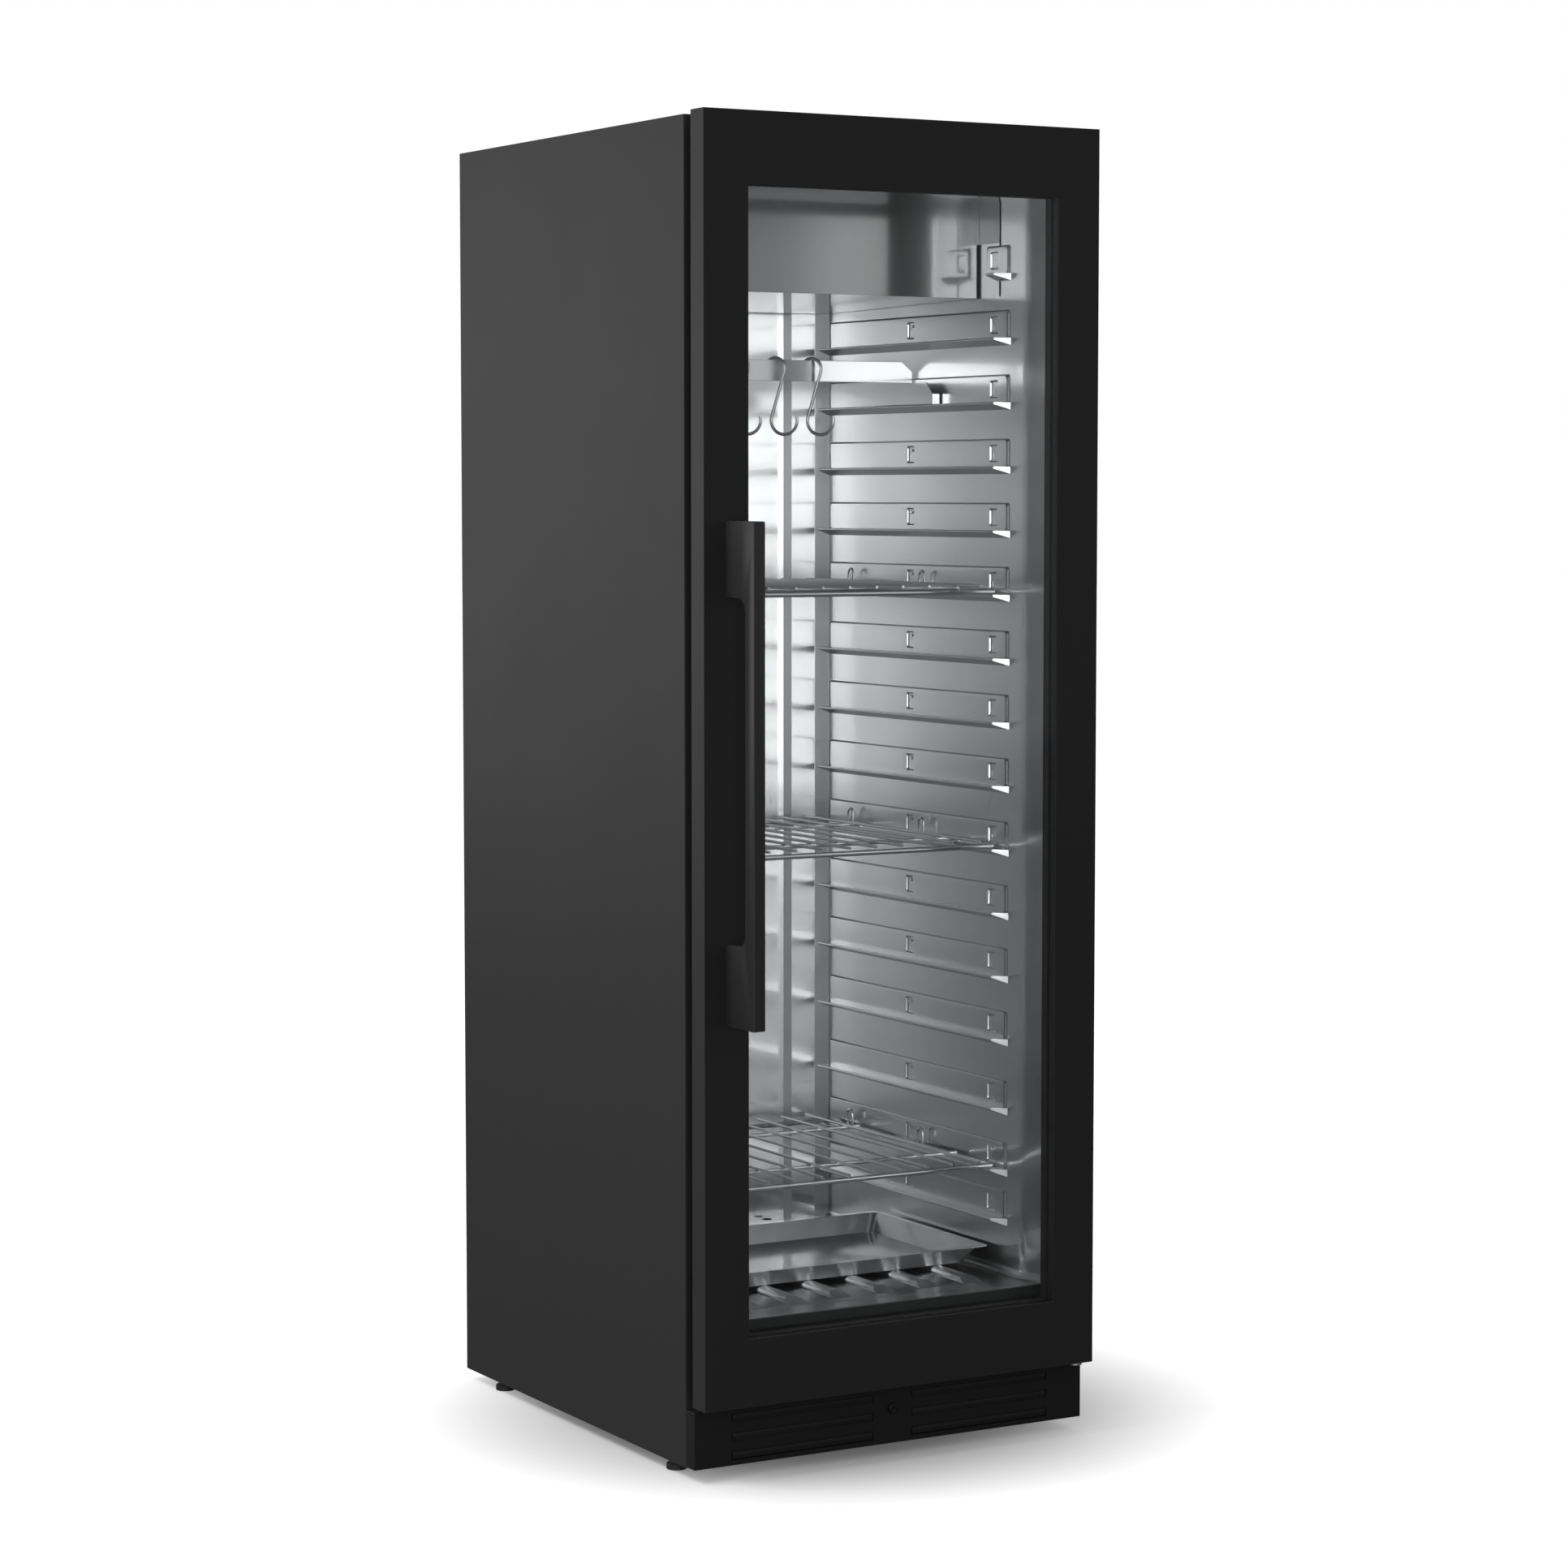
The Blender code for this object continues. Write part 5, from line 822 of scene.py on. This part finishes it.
def drawn_screw(place, radius, axis):
    """A pan head with a star recess, its flat side at the place, facing along an axis."""
    bm = bmesh.new()
    turn = Vector((0, 0, 1)).rotation_difference(Vector(axis)).to_matrix()
    rows = []
    for wide, high, star in SCREW_PROFILE:
        row = []
        for step in range(SCREW_TURNS):
            angle = 2 * math.pi * step / SCREW_TURNS
            reach = radius * wide * (1 - STAR_DEPTH * star * (1 + math.cos(STAR_POINTS * angle)))
            point = Vector((reach * math.cos(angle), reach * math.sin(angle), radius * high))
            row.append(bm.verts.new(Vector(place) + turn @ point))
        rows.append(row)
    for first, second in zip(rows, rows[1:]):
        bridge(bm, first, second)
    bm.faces.new(rows[-1])
    bm.faces.new(list(reversed(rows[0])))
    return bm


print("screw drawn with", len(SCREW_PROFILE), "rings")

# %% [markdown]
# The top sheet has four screws along each side, in from its edges. The screws in the gap sit on the door,
# in three pairs, and move with it.

# %% Set the screws
TOP_SCREW = 0.0042
TOP_EDGE = (0.018, 0.020)
TOP_ROW = 4
top_low, top_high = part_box("casing_top")
place = (top_low.x + TOP_EDGE[0], top_low.y + TOP_EDGE[1], top_high.z)
rows = [(TOP_ROW, (0.0, (top_high.y - top_low.y - 2 * TOP_EDGE[1]) / (TOP_ROW - 1), 0.0)),
        (2, (top_high.x - top_low.x - 2 * TOP_EDGE[0], 0.0, 0.0))]
top_screws = repeat("top_screws", drawn_screw(place, TOP_SCREW, (0, 0, 1)), rows, finishes["zinc_steel"])
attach(top_screws, "cabinet")

GAP_SCREW = 0.0026
GAP_BACK = 0.0061
GAP_RISE = 0.0189
PAIR_STEP = 0.0340
PAIRS_STEP = 0.7880
gasket_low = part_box("door_gasket")[0]
place = (gasket_low.x, gasket_low.y + GAP_BACK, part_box("door_skin")[0].z + GAP_RISE)
gap_screws = repeat("gap_screws", drawn_screw(place, GAP_SCREW, (-1, 0, 0)),
                    [(2, (0.0, 0.0, PAIR_STEP)), (3, (0.0, 0.0, PAIRS_STEP))], finishes["zinc_steel"])
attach(gap_screws, "door")
print("screw faces:", len(top_screws.data.polygons) + len(gap_screws.data.polygons))

# %% [markdown]
# ## The dust filter behind the kick grille
# A black woven sheet sits right behind the slots and keeps fluff off the condenser. Its near-black colour
# is painted shade, so the slots look like shallow black grooves from the front.

# %% Cut the filter sheet
FILTER_SIZE = (0.232, 0.0010, 0.0640)
FILTER_MIDDLE = 0.136
FILTER_BACK = 0.0034
FILTER_RISE = 0.0017
FILTER_ROUND = 0.0003
filter_z = (kick_low.z + kick_high.z) / 2 + FILTER_RISE
sheets = bmesh.new()
for side in (-1, 1):
    add_box(sheets, (side * FILTER_MIDDLE, kick_low.y + FILTER_BACK, filter_z), FILTER_SIZE)
kick_filter = drawn_object("kick_filter", sheets)
kick_filter.modifiers.new("border", "BEVEL").width = FILTER_ROUND
kick_filter = plain_copy(kick_filter)
paint(kick_filter, filter_black_painted_shade)
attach(kick_filter, "cabinet")
print("filter faces:", len(kick_filter.data.polygons))

# %% [markdown]
# ## The pressed side walls
# Each side wall is one sheet, pressed in a tool. Every rail has a raised panel above it with softly
# rounded borders, and two small pockets where shelf clips can lock in. Soft borders matter here, because
# a mirror-like sheet shows each one as a pair of light and dark lines. The sizes come first: sheet, flare
# towards the door, rails and panels.

# %% Sizes of the side walls
wall_low, wall_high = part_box("liner_right")
RAIL_REACH = 0.020
WALL_X = wall_low.x + RAIL_REACH
FRONT_Y = wall_low.y
CORNER_Y = wall_high.y + 0.0003
FLOOR_Z = wall_low.z + 0.001
CEILING_Z = wall_high.z - 0.001
COVE = 0.010
COVE_LIFT = 0.0002
COVE_STEPS = 8

FLARE_X = wall_high.x - 0.001
FLARE_KINK = (0.003, 0.0346)
FLARE_TURN = 0.0485
TURN_HALF = 0.010
TURN_OUT = 0.0022
TURN_STEPS = 6
FLARE_LIP = 0.0018
LIP_ANGLE = 72
LIP_STEPS = 4

RAIL_TOP = wall_high.z - 0.1093
RAIL_STEP = 0.0865
EVEN_RAILS = 13
LOW_STEPS = (0.0949, 0.0848, 0.0679)
RAIL_Y = FRONT_Y + 0.0855
RAIL_LONG = 0.481
TOP_RAIL_LONG = 0.033
RAIL_LIP = 0.0016
RAIL_ROOT = 0.0105
RAIL_SUNK = 0.0006
LIP_TURN = 160
NOSE_LONG = 0.0131
NOSE_ROUND = 0.0006

TOP_PANEL_LONG = 0.062
PANEL_HIGH = 0.038
PANEL_RISE = 0.0026
PANEL_CORNER = 0.004
PANEL_BORDER = (0.0070, 0.0030)
PANEL_SUNK = 0.0002


def rail_tops():
    """The top of every rail, from the highest down."""
    tops = [RAIL_TOP - RAIL_STEP * index for index in range(EVEN_RAILS)]
    for step in LOW_STEPS:
        tops.append(tops[-1] - step)
    return tops


print("rails per wall:", len(rail_tops()), "lowest", round(rail_tops()[-1], 4))

# %% [markdown]
# A pocket has two marks in its floor. The front pocket has a slot and a round dimple. The rear one holds
# a clip, so its upper mark stands out of the floor as a peg. Its rise is below zero, because this wall
# looks towards -X.

# %% Sizes of the pockets
POCKET_LOW = 0.0056
POCKET_HIGH = 0.0243
POCKET_HALF = 0.01025
POCKET_DEEP = 0.0024
POCKET_CORNER = 0.0028
POCKET_BORDER = (0.0020, 0.0020)
MARK_BORDER = (0.0008, 0.0008)
SLOT_LOW = 0.0040
SLOT_DEEP = 0.0026
SLOT_CORNER = 0.0008
MARK_CORNER = 0.0030
FRONT_POCKET = dict(place=0.038, slot_half=0.0042, slot_top=0.0130, mark_half=0.0030, mark_low=0.0150,
                    mark_high=0.0060, mark_rise=0.0024)
REAR_POCKET = dict(place=0.252, slot_half=0.0038, slot_top=0.0125, mark_half=0.0050, mark_low=0.0160,
                   mark_high=0.0042, mark_rise=-0.0020)
print("pocket size:", 2 * POCKET_HALF, "by", POCKET_HIGH)

# %% [markdown]
# ### Soft borders
# A border is a set of rings between a rounded loop and a smaller one. The rings follow an S curve, so the
# sheet leaves one level gently and meets the other gently. Flat areas are filled between the rings that
# bound them.

# %% Draw rounded loops and soft borders
BORDER_STEPS = 6
CORNER_STEPS = 4


def rounded_loop(low, high, corner):
    """Points of a rectangle with round corners, between two (y, z) corners."""
    points = []
    corner = min(corner, (high[0] - low[0]) / 2.01, (high[1] - low[1]) / 2.01)
    centres = [(high[0] - corner, high[1] - corner, 0), (low[0] + corner, high[1] - corner, 90),
               (low[0] + corner, low[1] + corner, 180), (high[0] - corner, low[1] + corner, 270)]
    for y, z, start in centres:
        for step in range(CORNER_STEPS + 1):
            angle = math.radians(start + 90 * step / CORNER_STEPS)
            points.append((y + corner * math.cos(angle), z + corner * math.sin(angle)))
    return points


def soft_border(bm, low, high, corner, widths, start_x, end_x):
    """Rings along an S curve from an outer loop to a smaller one, as wide as (along, up) says."""
    rings = []
    for step in range(BORDER_STEPS + 1):
        share = step / BORDER_STEPS
        eased = share * share * (3 - 2 * share)
        along, up = widths[0] * share, widths[1] * share
        loop = rounded_loop((low[0] + along, low[1] + up), (high[0] - along, high[1] - up), corner)
        x = start_x + (end_x - start_x) * eased
        rings.append([bm.verts.new((x, y, z)) for y, z in loop])
    for first, second in zip(rings, rings[1:]):
        bridge(bm, first, second)
    return rings[0], rings[-1]


def fill_between(bm, *rings):
    """A flat face inside the first ring with the other rings as holes."""
    edges = []
    for ring in rings:
        for vert, after in zip(ring, ring[1:] + ring[:1]):
            edges.append(bm.edges.get((vert, after)) or bm.edges.new((vert, after)))
    bmesh.ops.triangle_fill(bm, use_beauty=True, use_dissolve=False, edges=edges)


print("border steps:", BORDER_STEPS)

# %% [markdown]
# ### Panels and pockets
# A panel is a soft border round a flat face with pockets as holes in it. A pocket is the same idea once
# more, with its marks as holes in its floor.

# %% Press a panel with its pockets
def press_mark(bm, middle, half, low, high, corner, base, rise):
    """A small mark in a pocket's floor. Gives back its outer and inner rings."""
    return soft_border(bm, (middle - half, low), (middle + half, high), corner, MARK_BORDER, base,
                       base + rise)


def press_pocket(bm, low, face_x, form):
    """A recess with a slot and a mark. Gives back its outer ring."""
    middle = RAIL_Y + form["place"]
    base = face_x + POCKET_DEEP
    outer, inner = soft_border(bm, (middle - POCKET_HALF, low), (middle + POCKET_HALF, low + POCKET_HIGH),
                               POCKET_CORNER, POCKET_BORDER, face_x, base)
    slot_outer, slot_inner = press_mark(bm, middle, form["slot_half"], low + SLOT_LOW, low + form["slot_top"],
                                        SLOT_CORNER, base, SLOT_DEEP)
    mark_low = low + form["mark_low"]
    mark_outer, mark_inner = press_mark(bm, middle, form["mark_half"], mark_low, mark_low + form["mark_high"],
                                        MARK_CORNER, base, form["mark_rise"])
    fill_between(bm, inner, slot_outer, mark_outer)
    fill_between(bm, slot_inner)
    fill_between(bm, mark_inner)
    return outer


def press_panel(bm, top, long, pockets):
    """One raised panel above a rail on the right wall."""
    low = (RAIL_Y, top - RAIL_LIP * 2)
    high = (RAIL_Y + long, top + PANEL_HIGH)
    face_x = WALL_X - PANEL_RISE
    outer, inner = soft_border(bm, low, high, PANEL_CORNER, PANEL_BORDER, WALL_X + PANEL_SUNK, face_x)
    holes = [press_pocket(bm, top + POCKET_LOW, face_x, form) for form in pockets]
    fill_between(bm, inner, *holes)


print("panel tools ready")

# %% [markdown]
# ### Rails
# A rail is a ledge with a flat top, a round lip and a sloping underside. Its front end is cut by a
# slanting flat face, the nose, that shows as a white triangle in the photograph, because it mirrors a
# panel near the camera.

# %% Press a rail
def ledge_profile(steps=8):
    """The rail in section: flat top, round lip and sloping underside, as (reach, drop) pairs."""
    lip_x = RAIL_REACH - RAIL_LIP
    points = [(-RAIL_SUNK, 0.0), (lip_x, 0.0)]
    for step in range(1, steps + 1):
        angle = math.radians(90 - LIP_TURN * step / steps)
        points.append((lip_x + RAIL_LIP * math.cos(angle), RAIL_LIP * (math.sin(angle) - 1)))
    points.append((-RAIL_SUNK, -RAIL_ROOT))
    return points


def press_ledge(bm, top, long):
    """One rail, its front end cut by a slanting face that runs from the wall to the tip."""
    rows = []
    for place, slant in ((RAIL_Y, NOSE_LONG), (RAIL_Y + long, 0.0)):
        rows.append([bm.verts.new((WALL_X - out, place + slant * max(out, 0.0) / RAIL_REACH, top + down))
                     for out, down in ledge_profile()])
    for index in range(len(rows[0]) - 1):
        bm.faces.new((rows[0][index], rows[0][index + 1], rows[1][index + 1], rows[1][index]))
    nose = bm.faces.new(rows[0])
    bm.faces.new(list(reversed(rows[-1])))
    round_edges(bm, nose.edges[:], NOSE_ROUND, 3)


print("rail section:", len(ledge_profile()), "points")

# %% [markdown]
# ### The sheet behind the panels
# The sheet itself flares out towards the door, ends in a rolled lip, and meets the floor in a cove, so
# that it can be wiped clean. Its plan is a row of points with the direction that points into the cavity
# at each of them.

# %% Draw the sheet
def wall_plan():
    """The right wall in plan, front to back, as (place, inward) pairs."""
    raw = []
    for step in range(LIP_STEPS + 1):
        angle = math.radians(LIP_ANGLE * (1 - step / LIP_STEPS))
        out, back = FLARE_LIP * (1 - math.cos(angle)), FLARE_LIP * (1 - math.sin(angle))
        raw.append(Vector((FLARE_X + out, FRONT_Y + back)))
    raw.append(Vector((WALL_X + FLARE_KINK[0], FRONT_Y + FLARE_KINK[1])))
    for step in range(TURN_STEPS + 1):
        share = step / TURN_STEPS
        raw.append(Vector((WALL_X + TURN_OUT * (1 - share) ** 2,
                           FRONT_Y + FLARE_TURN - TURN_HALF + 2 * TURN_HALF * share)))
    raw += [Vector((WALL_X, y)) for y in (RAIL_Y, CORNER_Y - 0.006, CORNER_Y)]
    plan = []
    for index, point in enumerate(raw):
        before, after = raw[max(index - 1, 0)], raw[min(index + 1, len(raw) - 1)]
        along = (after - before).normalized()
        plan.append((point, Vector((-along.y, along.x))))
    return plan


def draw_sheet(bm):
    """The wall sheet with a cove along the floor."""
    profile = [(0.0, CEILING_Z), (0.0, FLOOR_Z + COVE * 2), (0.0, FLOOR_Z + COVE)]
    for step in range(1, COVE_STEPS + 1):
        angle = math.radians(90 * step / COVE_STEPS)
        profile.append((COVE * (1 - math.cos(angle)), FLOOR_Z + COVE * (1 - math.sin(angle)) + COVE_LIFT))
    rows = []
    for point, inward in wall_plan():
        rows.append([bm.verts.new((*(point + inward * out), z)) for out, z in profile])
    for first, second in zip(rows, rows[1:]):
        for index in range(len(first) - 1):
            bm.faces.new((first[index], second[index], second[index + 1], first[index + 1]))


print("sheet plan:", len(wall_plan()), "points")

# %% [markdown]
# ### Both walls
# The left wall is the right one in a mirror, so one function makes both, and the normals are worked out
# after the mirroring. Each wall stands for the plainer packed one. The topmost rail is short, since the
# cover hangs there.

# %% Make both walls
WALL_ANGLE = 38


def side_wall(side, node):
    """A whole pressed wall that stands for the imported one."""
    bm = bmesh.new()
    draw_sheet(bm)
    for index, top in enumerate(rail_tops()):
        short = index == 0
        press_ledge(bm, top, TOP_RAIL_LONG if short else RAIL_LONG)
        press_panel(bm, top, TOP_PANEL_LONG if short else RAIL_LONG,
                    [FRONT_POCKET] if short else [FRONT_POCKET, REAR_POCKET])
    bmesh.ops.transform(bm, matrix=Matrix.Scale(side, 4, (1, 0, 0)), verts=bm.verts)
    bmesh.ops.recalc_face_normals(bm, faces=bm.faces)
    made = drawn_object(node + "_pressed", bm)
    paint(made, finishes["stainless"])
    smooth_by_angle(made, WALL_ANGLE)
    flats = made.modifiers.new("flats", "WEIGHTED_NORMAL")
    flats.keep_sharp = True
    flats.weight = 100
    made = plain_copy(made)
    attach(made, "cabinet")
    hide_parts(node)
    return made


for side, node in ((1, "liner_right"), (-1, "liner_left")):
    made = side_wall(side, node)
    print(node, len(made.data.polygons), "faces")

# %% [markdown]
# ## Seal beads on the cover's ears
# The ears of the cover lie flat on the side walls, and a thin dark bead of sealant runs along their front
# edge; its black also paints the shadow line of the seam there. A bead is a small tube along a path, so a
# poly curve with a round bevel makes it.

# %% Run the seal beads
BEAD = 0.0009
BEAD_RESOLUTION = 3
EAR_Y = FRONT_Y + 0.1130
EAR_BACK_Y = FRONT_Y + 0.1650
EAR_ROUND = 0.012
EAR_STEPS = 6
BEAD_ENDS = (0.006, 0.0025)
cover_low, cover_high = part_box("evaporator_cover")


def bead_path(side):
    """From the ceiling edge round the ear's corner and down to the cover's lower edge."""
    x = side * (WALL_X - BEAD / 2)
    top = cover_high.z - BEAD_ENDS[1]
    points = [(x, EAR_BACK_Y, top), (x, EAR_Y + EAR_ROUND, top)]
    for step in range(1, EAR_STEPS + 1):
        angle = math.radians(90 + 90 * step / EAR_STEPS)
        points.append((x, EAR_Y + EAR_ROUND + EAR_ROUND * math.cos(angle),
                       top - EAR_ROUND + EAR_ROUND * math.sin(angle)))
    points.append((x, EAR_Y, cover_low.z + BEAD_ENDS[0]))
    return points


# Black bead: sealant, and also a painted shadow line along the seam of each ear.
curve = bpy.data.curves.new("cover_bead_painted_shade", "CURVE")
curve.dimensions = "3D"
curve.bevel_depth = BEAD
curve.bevel_resolution = BEAD_RESOLUTION
curve.use_fill_caps = True
for points in (bead_path(1), bead_path(-1)):
    spline = curve.splines.new("POLY")
    spline.points.add(len(points) - 1)
    for place, point in zip(spline.points, points):
        place.co = (*point, 1.0)
seal_bead_painted_shade = plain_copy(placed("cover_bead_painted_shade", curve))
paint(seal_bead_painted_shade, finishes["black_rubber"])
smooth_by_angle(seal_bead_painted_shade, ROUND_ANGLE)
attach(seal_bead_painted_shade, "cabinet")
print("bead faces:", len(seal_bead_painted_shade.data.polygons))
